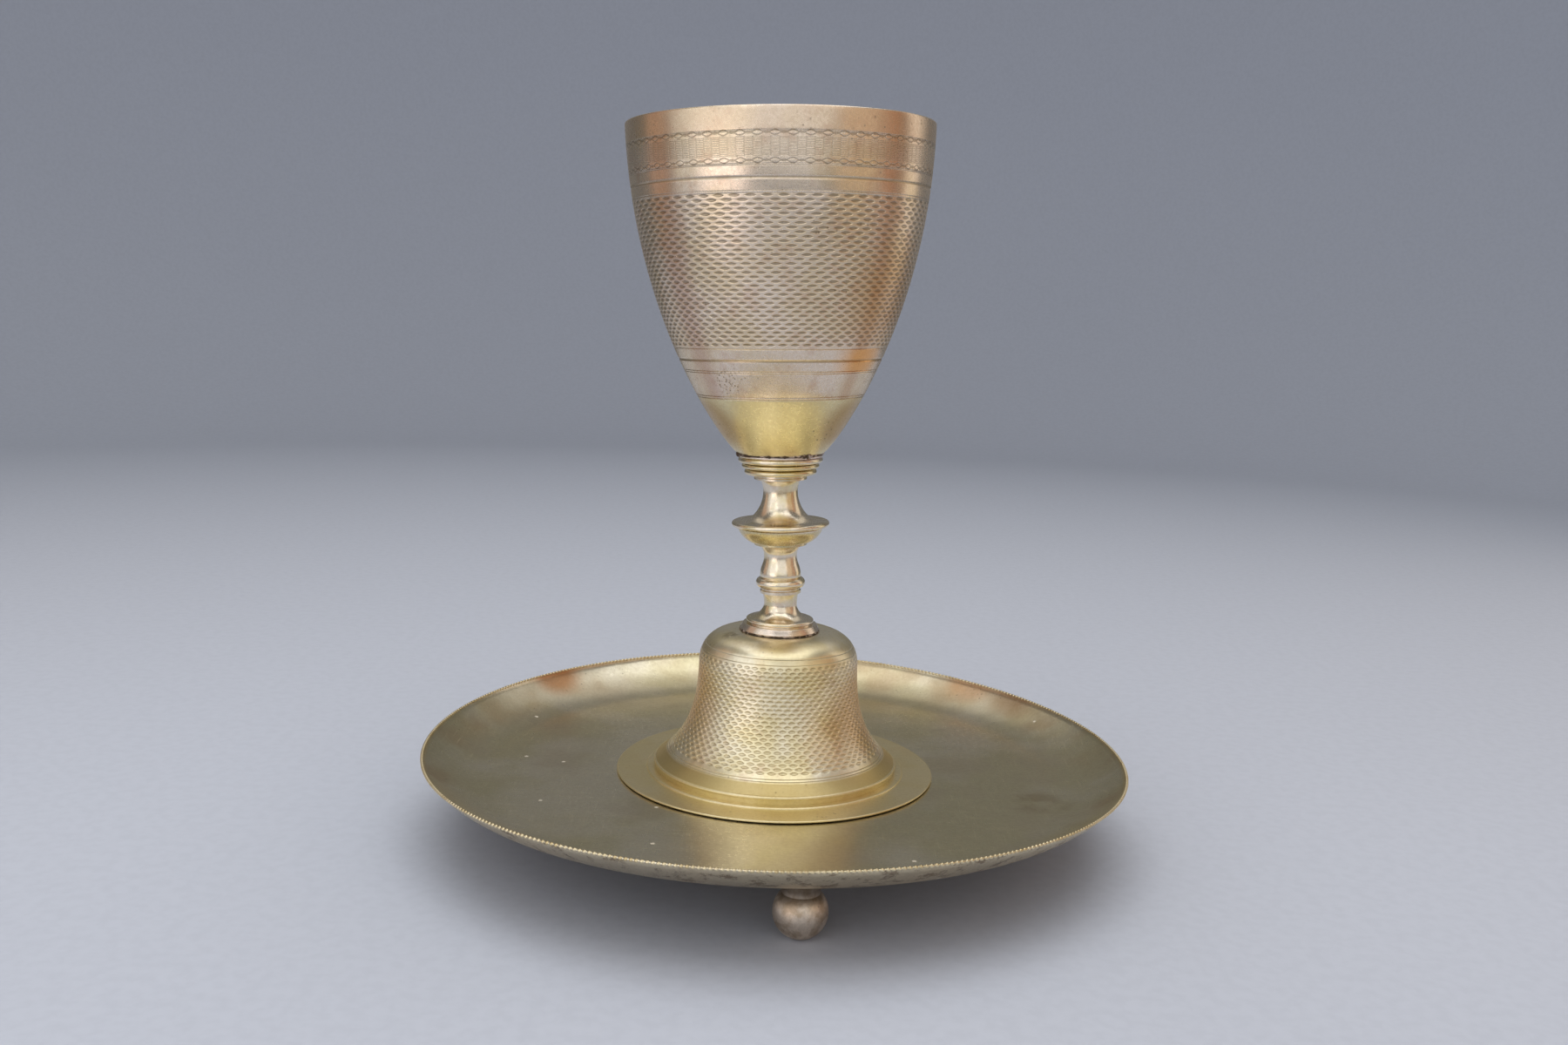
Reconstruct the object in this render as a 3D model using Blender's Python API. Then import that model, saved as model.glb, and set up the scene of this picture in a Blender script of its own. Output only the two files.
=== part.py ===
"""A silver-gilt stemmed cup on a hollow bell foot, standing in a round dish on three ball feet.

Units are metres, +Z is up, the floor under the ball feet is z = 0, and the dish is centred on the origin.
The front of the object faces -Y. The stem is bent a little to the left at its lowest neck, so the bowl leans.
"""
import math

import bmesh
import bpy
from mathutils import Matrix, Vector

MM = 0.001

# The gap left between two pieces that touch.
SEAT_GAP = 0.3 * MM

# Dish
DISH_RADIUS = 110.0 * MM
DISH_WALL = 1.0 * MM
DISH_DEPTH = 9.8 * MM
DISH_WALL_RUN = 21.9 * MM
DISH_EDGE_RADIUS = 0.65 * MM
DISH_WARP = 1.3 * MM
DISH_WARP_TURN = math.radians(10.7)
DISH_SEAT_MARGIN = 2.0 * MM
DISH_EDGE_START = 40

# Ball feet
FOOT_COUNT = 3
FOOT_TURN = math.radians(5.8)
FOOT_MARGIN = 0.1 * MM
FOOT_PAD_RADIUS = 6.0 * MM
FOOT_NECK_RADIUS = 5.2 * MM
FOOT_NECK_HEIGHT = 4.9 * MM
BALL_RADIUS = 7.5 * MM
BALL_FLAT_RADIUS = 1.6 * MM

# Stem, from its foot to its top
FOOT_RING_RADIUS = 12.4 * MM
FOOT_RING_TAPER = 0.8 * MM
FOOT_RING_HEIGHT = 2.1 * MM
FOOT_DISC_INSET = 1.0 * MM
FOOT_DISC_HEIGHT = 1.3 * MM
LOWER_NECK_RADIUS = 5.15 * MM
LOWER_NECK_HEIGHT = 8.1 * MM
COLLAR_RADIUS = 6.4 * MM
COLLAR_HEIGHT = 0.8 * MM
RING_KNOP_RADIUS = 7.7 * MM
RING_KNOP_HEIGHT = 3.1 * MM
MIDDLE_NECK_RADIUS = 5.15 * MM
MIDDLE_NECK_FOOT_RADIUS = 6.4 * MM
MIDDLE_NECK_HEIGHT = 10.0 * MM
CUP_LINE_RADIUS = 8.2 * MM
CUP_LINE_HEIGHT = 0.7 * MM
CUP_RADIUS = 13.1 * MM
CUP_HEIGHT = 4.6 * MM
KNOP_LIP = 2.1 * MM
KNOP_HEIGHT = 1.6 * MM
UPPER_NECK_RADIUS = 5.35 * MM
UPPER_NECK_HEIGHT = 13.1 * MM
NECK_LINE_RADIUS = 8.2 * MM
NECK_LINE_HEIGHT = 0.6 * MM
TOP_DISC_RADIUS = 13.1 * MM
TOP_DISC_HEIGHT = 2.6 * MM
UPPER_STEP_INSET = 1.1 * MM
UPPER_STEP_HEIGHT = 1.4 * MM
LOWER_STEP_INSET = 1.9 * MM
LOWER_STEP_HEIGHT = 1.7 * MM

# The turned grooves between the stem's members
THIN_GROOVE = 0.3 * MM
KNOP_GROOVE = 0.5 * MM
WIDE_GROOVE = 0.9 * MM
GROOVE_DEPTH = 0.5 * MM
EDGE_ROUND = 0.35 * MM

# How far along its reach a neck's curve is pulled towards the corner, and where the neck is thinnest.
NECK_PULL = 0.5
CUP_PULL = 0.38
UPPER_NECK_WAIST = 0.7
MIDDLE_NECK_WAIST = 0.66
NECK_FLARE = 1.5 * MM

# The stem's bend: from this share of the lowest neck up, all that stands above leans to the left.
BEND_SHARE = 0.55
STEM_LEAN = math.radians(2.0)

# Bell foot
BELL_WALL = 1.0 * MM
BELL_HEIGHT = 45.2 * MM
BELL_TOP_MARGIN = 1.6 * MM
BELL_WAIST_RADIUS = 25.0 * MM
BELL_DOME_HEIGHT = 10.2 * MM
BELL_DOME_PULL = 0.62
FLANGE_RADIUS = 50.0 * MM
FLANGE_THICKNESS = 0.65 * MM
FLANGE_WIDTH = 9.3 * MM
RIDGE_STEP = 2.3 * MM
RIDGE_ROUND = 0.6 * MM
LOWER_RIDGE_HEIGHT = 0.55 * MM
UPPER_RIDGE_HEIGHT = 3.0 * MM
RIDGE_FACE_ANGLE = 45
FLARE_STRAIGHT = 0.5
FLARE_SPREAD = 0.3
FLARE_SETTLE = 0.22

# Bowl
BOWL_HEIGHT = 98.2 * MM
BOWL_MOUTH_RADIUS = 46.4 * MM
BOWL_OVERHANG = 0.2 * MM
BOWL_WALL = 0.9 * MM
BOWL_FLOOR = 1.2 * MM
BOWL_HEEL_SPREAD = 2.35 * MM
BOWL_HEEL_SHARE = 0.009
BOWL_SHOULDER_INSET = 1.9 * MM
BOWL_SHOULDER_SHARE = 0.384
BOWL_FLOOR_SHARE = 0.6
UPPER_GROOVE_DROP = 18.9 * MM
LOWER_GROOVE_DROP = 69.15 * MM
BAND_GROOVE_WIDTH = 0.9 * MM
BAND_GROOVE_DEPTH = 0.3 * MM

# Sides of each round piece, and the steps along its curves
BOWL_SIDES = 40
STEM_SIDES = 24
BELL_SIDES = 36
DISH_SIDES = 56
BALL_SIDES = 12
BOWL_STEPS = 13
FLARE_STEPS = 6
CURVE_STEPS = 4
BEAD_STEPS = 3
SHARP_ANGLE = math.radians(38)

# Linear colours and roughness of the metals
GILT = ((0.62, 0.50, 0.33), 0.34)
SILVER = ((0.60, 0.55, 0.45), 0.32)
BRONZE = ((0.30, 0.27, 0.18), 0.38)
RUBBED_SILVER = ((0.45, 0.40, 0.34), 0.42)

# Sizes that follow from the ones above
DISH_FLAT_RADIUS = DISH_RADIUS - DISH_WALL_RUN
FOOT_CIRCLE_RADIUS = DISH_FLAT_RADIUS - FOOT_PAD_RADIUS - FOOT_MARGIN
BALL_LIFT = math.sqrt(BALL_RADIUS ** 2 - BALL_FLAT_RADIUS ** 2)
FOOT_NECK_BASE = BALL_LIFT + math.sqrt(BALL_RADIUS ** 2 - FOOT_NECK_RADIUS ** 2)
FOOT_TOP = FOOT_NECK_BASE + FOOT_NECK_HEIGHT
UNDERSIDE = FOOT_TOP + SEAT_GAP
DISH_FLOOR = UNDERSIDE + DISH_WALL
DISH_RIM = DISH_FLOOR + DISH_DEPTH
BELL_BASE = DISH_FLOOR + SEAT_GAP
BELL_TOP = BELL_BASE + BELL_HEIGHT
BELL_TOP_RADIUS = FOOT_RING_RADIUS + BELL_TOP_MARGIN
DISH_SEAT_RADIUS = FLANGE_RADIUS + DISH_SEAT_MARGIN
LOWER_RIDGE_RADIUS = FLANGE_RADIUS - FLANGE_WIDTH
UPPER_RIDGE_RADIUS = LOWER_RIDGE_RADIUS - RIDGE_STEP
STEM_BASE = BELL_TOP + SEAT_GAP
FOOT_DISC_RADIUS = FOOT_RING_RADIUS - FOOT_RING_TAPER - FOOT_DISC_INSET
LOWER_NECK_BASE = STEM_BASE + FOOT_RING_HEIGHT + THIN_GROOVE + FOOT_DISC_HEIGHT
BEND_HEIGHT = LOWER_NECK_BASE + BEND_SHARE * LOWER_NECK_HEIGHT
KNOP_RADIUS = CUP_RADIUS + KNOP_LIP
UPPER_STEP_RADIUS = TOP_DISC_RADIUS - UPPER_STEP_INSET
LOWER_STEP_RADIUS = TOP_DISC_RADIUS - LOWER_STEP_INSET
BOWL_BASE_RADIUS = TOP_DISC_RADIUS + BOWL_OVERHANG


def clear_scene():
    for old in list(bpy.data.objects):
        bpy.data.objects.remove(old, do_unlink=True)


def metal(name, color, roughness):
    """A Principled metal; color is linear RGB."""
    material = bpy.data.materials.new(name)
    material.use_nodes = True
    shader = material.node_tree.nodes["Principled BSDF"]
    shader.inputs["Base Color"].default_value = (*color, 1.0)
    shader.inputs["Roughness"].default_value = roughness
    shader.inputs["Metallic"].default_value = 1.0
    return material


def arc(center_r, center_z, radius_r, start, end, steps, radius_z=None):
    """Points (r, z) on an arc, from one angle to another, both included; angles in degrees from +r."""
    radius_z = radius_r if radius_z is None else radius_z
    points = []
    for i in range(steps + 1):
        a = math.radians(start + (end - start) * i / steps)
        points.append((center_r + radius_r * math.cos(a), center_z + radius_z * math.sin(a)))
    return points


def bezier(p0, p1, p2, p3, steps):
    """Points (r, z) on a cubic curve, both ends included."""
    points = []
    for i in range(steps + 1):
        t = i / steps
        s = 1.0 - t
        w = (s ** 3, 3 * s * s * t, 3 * s * t * t, t ** 3)
        points.append(tuple(sum(k * p[axis] for k, p in zip(w, (p0, p1, p2, p3))) for axis in (0, 1)))
    return points


def sweep(start, end, pull, steps):
    """A curve that leaves its start level and reaches its end upright."""
    corner_in = (start[0] + pull * (end[0] - start[0]), start[1])
    corner_out = (end[0], end[1] - pull * (end[1] - start[1]))
    return bezier(start, corner_in, corner_out, end, steps)


def offset_outline(outline, distance):
    """The outline moved square to itself, to the left of its direction of travel."""
    moved = []
    for i, (r, z) in enumerate(outline):
        before = outline[max(i - 1, 0)]
        after = outline[min(i + 1, len(outline) - 1)]
        along = Vector((after[0] - before[0], after[1] - before[1])).normalized()
        moved.append((r - along.y * distance, z + along.x * distance))
    return moved


def turned(name, outline, sides, material, place=None):
    """A closed turned body. The outline starts and ends on the axis; place moves each point."""
    bm = bmesh.new()
    rings = []
    last = len(outline) - 1
    for k, (r, z) in enumerate(outline):
        if k in (0, last):
            points = [Vector((0.0, 0.0, z))]
        else:
            turns = [2 * math.pi * i / sides for i in range(sides)]
            points = [Vector((r * math.cos(a), r * math.sin(a), z)) for a in turns]
        rings.append([bm.verts.new(place(p) if place else p) for p in points])
    for low, high in zip(rings, rings[1:]):
        for i in range(sides):
            j = (i + 1) % sides
            if len(low) == 1:
                bm.faces.new((low[0], high[j], high[i]))
            elif len(high) == 1:
                bm.faces.new((low[i], low[j], high[0]))
            else:
                bm.faces.new((low[i], low[j], high[j], high[i]))
    bmesh.ops.recalc_face_normals(bm, faces=bm.faces)
    mesh = bpy.data.meshes.new(name)
    bm.to_mesh(mesh)
    bm.free()
    mesh.shade_smooth()
    mesh.set_sharp_from_angle(angle=SHARP_ANGLE)
    obj = bpy.data.objects.new(name, mesh)
    obj.data.materials.append(material)
    bpy.context.scene.collection.objects.link(obj)
    return obj


def bead(radius, base, height):
    """A half-round moulding on a turned piece, from its base up."""
    depth = 0.5 * height
    return arc(radius - depth, base + depth, depth, -90, 90, BEAD_STEPS)


def make_foot(name, turn, material):
    """A cast ball with a short flared neck; its foot has a small flat spot to stand on."""
    flat_angle = math.degrees(math.asin(BALL_FLAT_RADIUS / BALL_RADIUS)) - 90
    neck_angle = math.degrees(math.acos(FOOT_NECK_RADIUS / BALL_RADIUS))
    ball = arc(0.0, BALL_LIFT, BALL_RADIUS, flat_angle, neck_angle, 2 * CURVE_STEPS)
    flare = sweep((FOOT_PAD_RADIUS, FOOT_TOP), ball[-1], NECK_PULL, BEAD_STEPS)[::-1]
    outline = [(0.0, 0.0)] + ball + flare[1:] + [(0.0, FOOT_TOP)]
    foot = turned(name, outline, BALL_SIDES, material)
    foot.location = (FOOT_CIRCLE_RADIUS * math.cos(turn), FOOT_CIRCLE_RADIUS * math.sin(turn), 0.0)
    return foot


def dish_outline():
    """The dish from the axis out under it, up its wall, over the edge and in along the floor."""
    edge_r = DISH_RADIUS - DISH_EDGE_RADIUS
    edge_z = DISH_RIM - DISH_EDGE_RADIUS
    run = edge_r - DISH_FLAT_RADIUS
    rise = edge_z - DISH_FLOOR
    curve = (run * run + rise * rise) / (2 * rise)
    top = math.degrees(math.atan2(run, curve - rise)) - 90
    center = DISH_FLOOR + curve
    half = 0.5 * DISH_WALL
    outside = arc(DISH_FLAT_RADIUS, center, curve + DISH_WALL, -90, top, CURVE_STEPS)
    inside = arc(DISH_FLAT_RADIUS, center, curve, top, -90, CURVE_STEPS)
    lean_r = math.cos(math.radians(top))
    lean_z = math.sin(math.radians(top))
    low = (outside[-1][0] - lean_r * half, outside[-1][1] - lean_z * half)
    shift = (edge_r - low[0], edge_z - low[1])
    outside[-1] = (outside[-1][0] + shift[0], outside[-1][1] + shift[1])
    start = top + DISH_EDGE_START
    edge = arc(edge_r, edge_z, DISH_EDGE_RADIUS, start, start + 180, BEAD_STEPS)
    floor = [(DISH_SEAT_RADIUS, DISH_FLOOR), (0.0, DISH_FLOOR)]
    return [(0.0, UNDERSIDE)] + outside + edge + inside[1:] + floor


def warped(point):
    """The thin dish wall is a little out of true: high at front and back, low at the sides."""
    reach = math.hypot(point.x, point.y)
    share = max(0.0, (reach - DISH_FLAT_RADIUS) / DISH_WALL_RUN)
    angle = math.atan2(point.y, point.x) - DISH_WARP_TURN
    return point - Vector((0.0, 0.0, DISH_WARP * share * math.cos(2 * angle)))


def bell_outline():
    """The bell from its flat top down the outside, over the two ridges and the flange, and up the inside."""
    waist = (BELL_WAIST_RADIUS, BELL_TOP - BELL_DOME_HEIGHT)
    flange_top = BELL_BASE + FLANGE_THICKNESS
    ridge_r = UPPER_RIDGE_RADIUS - RIDGE_ROUND
    ridge_z = flange_top + UPPER_RIDGE_HEIGHT - RIDGE_ROUND
    foot = (ridge_r, ridge_z + RIDGE_ROUND)
    fall = waist[1] - foot[1]
    spread = foot[0] - waist[0]
    dome = sweep((BELL_TOP_RADIUS, BELL_TOP), waist, BELL_DOME_PULL, CURVE_STEPS)
    flare = bezier(
        waist,
        (waist[0], waist[1] - FLARE_STRAIGHT * fall),
        (waist[0] + FLARE_SPREAD * spread, foot[1] + FLARE_SETTLE * fall),
        foot,
        FLARE_STEPS,
    )
    upper_ridge = arc(ridge_r, ridge_z, RIDGE_ROUND, RIDGE_FACE_ANGLE, -RIDGE_FACE_ANGLE, 1)
    hollow = (ridge_r, flange_top + LOWER_RIDGE_HEIGHT)
    lower_ridge = arc(LOWER_RIDGE_RADIUS - RIDGE_ROUND, flange_top, RIDGE_ROUND, 90, 0, 2, LOWER_RIDGE_HEIGHT)
    flange = [(FLANGE_RADIUS, flange_top), (FLANGE_RADIUS, BELL_BASE)]
    outside = dome + flare[1:] + upper_ridge + [hollow] + lower_ridge + flange
    inner_wall = offset_outline(dome + flare[1:], -BELL_WALL)
    inside = [(foot[0], BELL_BASE)] + inner_wall[:0:-2] + [(BELL_TOP_RADIUS, BELL_TOP - BELL_WALL)]
    return [(0.0, BELL_TOP)] + outside + inside + [(0.0, BELL_TOP - BELL_WALL)]


def stem_outline():
    """The turned baluster, built up member by member from the foot ring to the disc that carries the bowl."""
    z = STEM_BASE
    points = [(0.0, z), (FOOT_RING_RADIUS - EDGE_ROUND, z), (FOOT_RING_RADIUS, z + EDGE_ROUND)]
    z += FOOT_RING_HEIGHT
    ring_top = FOOT_RING_RADIUS - FOOT_RING_TAPER
    groove_radius = FOOT_DISC_RADIUS - GROOVE_DEPTH
    points += [(ring_top, z), (groove_radius, z), (groove_radius, z + THIN_GROOVE)]
    z += THIN_GROOVE
    points += bead(FOOT_DISC_RADIUS, z, FOOT_DISC_HEIGHT)
    neck_foot = points.pop()
    points += sweep(neck_foot, (LOWER_NECK_RADIUS, BEND_HEIGHT), NECK_PULL, CURVE_STEPS)
    z = LOWER_NECK_BASE + LOWER_NECK_HEIGHT
    points += [(LOWER_NECK_RADIUS + GROOVE_DEPTH, z)]
    points += [(COLLAR_RADIUS, z), (COLLAR_RADIUS, z + COLLAR_HEIGHT)]
    z += COLLAR_HEIGHT
    points += [(COLLAR_RADIUS - GROOVE_DEPTH, z + 0.5 * WIDE_GROOVE)]
    z += WIDE_GROOVE
    points += bead(RING_KNOP_RADIUS, z, RING_KNOP_HEIGHT)
    z += RING_KNOP_HEIGHT + KNOP_GROOVE
    top = z + MIDDLE_NECK_HEIGHT
    waist = z + MIDDLE_NECK_WAIST * MIDDLE_NECK_HEIGHT
    points += bezier(
        (MIDDLE_NECK_FOOT_RADIUS, z),
        (MIDDLE_NECK_FOOT_RADIUS, 0.5 * (z + waist)),
        (MIDDLE_NECK_RADIUS, 0.5 * (z + waist)),
        (MIDDLE_NECK_RADIUS, waist),
        BEAD_STEPS,
    )
    neck_top = (CUP_LINE_RADIUS - GROOVE_DEPTH, top)
    points += sweep(neck_top, (MIDDLE_NECK_RADIUS, waist), NECK_PULL, CURVE_STEPS)[-2::-1]
    z = top
    points += [(CUP_LINE_RADIUS, z), (CUP_LINE_RADIUS, z + CUP_LINE_HEIGHT)]
    z += CUP_LINE_HEIGHT
    cup_foot = (CUP_LINE_RADIUS + THIN_GROOVE, z)
    z += CUP_HEIGHT
    points += sweep(cup_foot, (CUP_RADIUS, z), CUP_PULL, CURVE_STEPS)
    points += [(CUP_RADIUS - GROOVE_DEPTH, z + 0.5 * KNOP_GROOVE)]
    z += KNOP_GROOVE
    points += bead(KNOP_RADIUS, z, KNOP_HEIGHT)
    z += KNOP_HEIGHT
    top = z + UPPER_NECK_HEIGHT
    throat = z + UPPER_NECK_WAIST * UPPER_NECK_HEIGHT
    neck_foot = (KNOP_RADIUS - 2 * KNOP_HEIGHT, z)
    points += sweep(neck_foot, (UPPER_NECK_RADIUS, throat), NECK_PULL, CURVE_STEPS)
    neck_top = (UPPER_NECK_RADIUS + NECK_FLARE, top)
    points += sweep(neck_top, (UPPER_NECK_RADIUS, throat), NECK_PULL, BEAD_STEPS)[-2::-1]
    z = top
    points += [(NECK_LINE_RADIUS, z), (NECK_LINE_RADIUS, z + NECK_LINE_HEIGHT)]
    z += NECK_LINE_HEIGHT
    points += [(NECK_LINE_RADIUS - THIN_GROOVE, z + WIDE_GROOVE)]
    z += WIDE_GROOVE
    points += bead(LOWER_STEP_RADIUS, z, LOWER_STEP_HEIGHT)
    z += LOWER_STEP_HEIGHT + THIN_GROOVE
    points += bead(UPPER_STEP_RADIUS, z, UPPER_STEP_HEIGHT)
    z += UPPER_STEP_HEIGHT + THIN_GROOVE
    points += [(TOP_DISC_RADIUS - EDGE_ROUND, z), (TOP_DISC_RADIUS, z + EDGE_ROUND)]
    z += TOP_DISC_HEIGHT
    points += [(TOP_DISC_RADIUS, z - EDGE_ROUND), (TOP_DISC_RADIUS - EDGE_ROUND, z), (0.0, z)]
    return points, z


def leaned(point):
    """Turns everything above the bend to the left, about the stem's axis at the bend."""
    pivot = Vector((0.0, 0.0, BEND_HEIGHT))
    if point.z <= BEND_HEIGHT:
        return point
    return Matrix.Rotation(-STEM_LEAN, 3, "Y") @ (point - pivot) + pivot


def bowl_wall():
    """The outer side of the bowl from base to mouth, its heights counted from the base."""
    return bezier(
        (BOWL_BASE_RADIUS, 0.0),
        (BOWL_BASE_RADIUS + BOWL_HEEL_SPREAD, BOWL_HEEL_SHARE * BOWL_HEIGHT),
        (BOWL_MOUTH_RADIUS - BOWL_SHOULDER_INSET, BOWL_SHOULDER_SHARE * BOWL_HEIGHT),
        (BOWL_MOUTH_RADIUS, BOWL_HEIGHT),
        BOWL_STEPS,
    )


def with_groove(wall, height):
    """The wall with a shallow turned groove whose middle is at the given height."""
    half = 0.5 * BAND_GROOVE_WIDTH

    def radius_at(z):
        for (r0, z0), (r1, z1) in zip(wall, wall[1:]):
            if z0 <= z <= z1:
                return r0 + (r1 - r0) * (z - z0) / (z1 - z0)
        return wall[-1][0]

    low = (radius_at(height - half), height - half)
    bottom = (radius_at(height) - BAND_GROOVE_DEPTH, height)
    high = (radius_at(height + half), height + half)
    below = [p for p in wall if p[1] < low[1] - half]
    above = [p for p in wall if p[1] > high[1] + half]
    return below + [low, bottom, high] + above


def make_bowl(base, material):
    """The raised bowl, leaning with the stem that carries it."""
    wall = bowl_wall()
    lip = 0.5 * BOWL_WALL
    rim = arc(BOWL_MOUTH_RADIUS - lip, BOWL_HEIGHT - lip, lip, 0, 180, BEAD_STEPS)
    outer = with_groove(wall[:-1], BOWL_HEIGHT - UPPER_GROOVE_DROP)
    outer = with_groove(outer, BOWL_HEIGHT - LOWER_GROOVE_DROP)
    inner = [p for p in offset_outline(wall, BOWL_WALL) if 2 * BOWL_FLOOR < p[1] < BOWL_HEIGHT - BOWL_WALL]
    inside = inner[::-2]
    floor = [(BOWL_FLOOR_SHARE * inside[-1][0], BOWL_FLOOR), (0.0, BOWL_FLOOR)]
    bowl = turned("bowl", [(0.0, 0.0)] + outer + rim + inside + floor, BOWL_SIDES, material)
    bowl.location = leaned(Vector((0.0, 0.0, base)))
    bowl.rotation_euler = (0.0, -STEM_LEAN, 0.0)
    return bowl


def build():
    clear_scene()
    gilt = metal("worn_gilt", *GILT)
    silver = metal("tarnished_silver", *SILVER)
    bronze = metal("dark_bronze", *BRONZE)
    ball_metal = metal("rubbed_silver", *RUBBED_SILVER)
    for number, name in enumerate(("front_ball_foot", "right_ball_foot", "left_ball_foot")):
        turn = FOOT_TURN - 0.5 * math.pi + number * 2 * math.pi / FOOT_COUNT
        make_foot(name, turn, ball_metal)
    turned("dish", dish_outline(), DISH_SIDES, bronze, warped)
    turned("bell_foot", bell_outline(), BELL_SIDES, gilt)
    outline, stem_top = stem_outline()
    turned("stem", outline, STEM_SIDES, silver, leaned)
    make_bowl(stem_top + SEAT_GAP, gilt)


build()
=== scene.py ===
"""The looks of the silver-gilt cup on its footed dish: finely engraved metal skins, the light and the camera.

Units are metres, +Z is up, the floor is z = 0 and the front faces -Y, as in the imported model.
A turn round the object is counted from its front, to the right.
"""
import math

import bpy
import numpy as np
from mathutils import Matrix, Vector


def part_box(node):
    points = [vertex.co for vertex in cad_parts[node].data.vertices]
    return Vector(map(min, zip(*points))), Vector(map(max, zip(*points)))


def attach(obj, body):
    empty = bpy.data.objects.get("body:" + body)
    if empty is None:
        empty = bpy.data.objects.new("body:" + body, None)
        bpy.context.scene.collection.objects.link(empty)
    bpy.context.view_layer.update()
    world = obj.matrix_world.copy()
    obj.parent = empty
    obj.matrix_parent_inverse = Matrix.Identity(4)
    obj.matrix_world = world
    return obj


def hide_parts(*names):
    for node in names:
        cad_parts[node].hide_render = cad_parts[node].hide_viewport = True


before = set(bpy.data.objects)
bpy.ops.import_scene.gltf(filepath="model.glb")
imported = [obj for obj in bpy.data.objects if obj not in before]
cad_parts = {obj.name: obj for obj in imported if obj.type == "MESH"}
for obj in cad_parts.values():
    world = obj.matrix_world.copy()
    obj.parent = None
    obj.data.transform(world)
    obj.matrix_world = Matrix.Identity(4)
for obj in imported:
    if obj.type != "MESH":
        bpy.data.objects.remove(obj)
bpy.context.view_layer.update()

MM = 0.001

# Places taken from the solids
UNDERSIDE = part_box("dish")[0].z
DISH_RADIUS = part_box("dish")[1].x
BELL_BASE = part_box("bell_foot")[0].z
BELL_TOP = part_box("bell_foot")[1].z
FLANGE_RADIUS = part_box("bell_foot")[1].x
STEM_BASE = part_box("stem")[0].z
FOOT_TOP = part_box("front_ball_foot")[1].z

# The gap left between two pieces that touch
SEAT_GAP = STEM_BASE - BELL_TOP

# Dish
DISH_WALL = 1.0 * MM
DISH_DEPTH = 9.8 * MM
DISH_WALL_RUN = 21.9 * MM
DISH_EDGE_RADIUS = 0.65 * MM
DISH_RIM_THINNING = 0.65
DISH_WARP = 1.3 * MM
DISH_WARP_TURN = math.radians(10.7)
DISH_FLAT_RADIUS = DISH_RADIUS - DISH_WALL_RUN
DISH_FLOOR = UNDERSIDE + DISH_WALL
DISH_RIM = DISH_FLOOR + DISH_DEPTH

# The milled edge of the dish: one bead to about every 1.5 mm
BEAD_COUNT = 470
BEAD_RADIUS = 0.52 * MM
BEAD_NECK = 0.35

# Ball feet
FOOT_PAD_RADIUS = 6.0 * MM
FOOT_NECK_RADIUS = 5.2 * MM
BALL_RADIUS = 7.5 * MM
BALL_FLAT_RADIUS = 1.6 * MM

# Stem, from its foot to its top
FOOT_RING_RADIUS = 12.4 * MM
FOOT_RING_TAPER = 0.8 * MM
FOOT_RING_HEIGHT = 2.1 * MM
FOOT_DISC_INSET = 1.0 * MM
FOOT_DISC_HEIGHT = 1.3 * MM
LOWER_NECK_RADIUS = 5.15 * MM
LOWER_NECK_HEIGHT = 8.1 * MM
COLLAR_RADIUS = 6.4 * MM
COLLAR_HEIGHT = 0.8 * MM
RING_KNOP_RADIUS = 7.7 * MM
RING_KNOP_HEIGHT = 3.1 * MM
MIDDLE_NECK_RADIUS = 5.15 * MM
MIDDLE_NECK_FOOT_RADIUS = 6.4 * MM
MIDDLE_NECK_HEIGHT = 10.0 * MM
CUP_LINE_RADIUS = 8.2 * MM
CUP_LINE_HEIGHT = 0.7 * MM
CUP_RADIUS = 13.1 * MM
CUP_HEIGHT = 4.6 * MM
KNOP_LIP = 2.1 * MM
KNOP_HEIGHT = 1.6 * MM
UPPER_NECK_RADIUS = 5.35 * MM
UPPER_NECK_HEIGHT = 13.1 * MM
NECK_LINE_RADIUS = 8.2 * MM
NECK_LINE_HEIGHT = 0.6 * MM
TOP_DISC_RADIUS = 13.1 * MM
TOP_DISC_HEIGHT = 2.6 * MM
TOP_BULGE_HEIGHT = 1.7 * MM
UPPER_STEP_INSET = 1.1 * MM
UPPER_STEP_HEIGHT = 1.4 * MM
LOWER_STEP_INSET = 1.9 * MM
LOWER_STEP_HEIGHT = 1.7 * MM
THIN_GROOVE = 0.3 * MM
KNOP_GROOVE = 0.5 * MM
WIDE_GROOVE = 0.9 * MM
GROOVE_DEPTH = 0.5 * MM
EDGE_ROUND = 0.35 * MM
NECK_PULL = 0.5
CUP_PULL = 0.38
UPPER_NECK_WAIST = 0.7
MIDDLE_NECK_WAIST = 0.66
NECK_FLARE = 1.5 * MM

# The stem's bend: from this share of the lowest neck up, all that stands above leans to the left.
BEND_SHARE = 0.55
STEM_LEAN = math.radians(2.0)
LOWER_NECK_BASE = STEM_BASE + FOOT_RING_HEIGHT + THIN_GROOVE + FOOT_DISC_HEIGHT
BEND_HEIGHT = LOWER_NECK_BASE + BEND_SHARE * LOWER_NECK_HEIGHT
RING_KNOP_BASE = LOWER_NECK_BASE + LOWER_NECK_HEIGHT + COLLAR_HEIGHT + WIDE_GROOVE
CUP_BASE = RING_KNOP_BASE + RING_KNOP_HEIGHT + KNOP_GROOVE + MIDDLE_NECK_HEIGHT + CUP_LINE_HEIGHT
STEM_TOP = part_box("stem")[1].z

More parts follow.
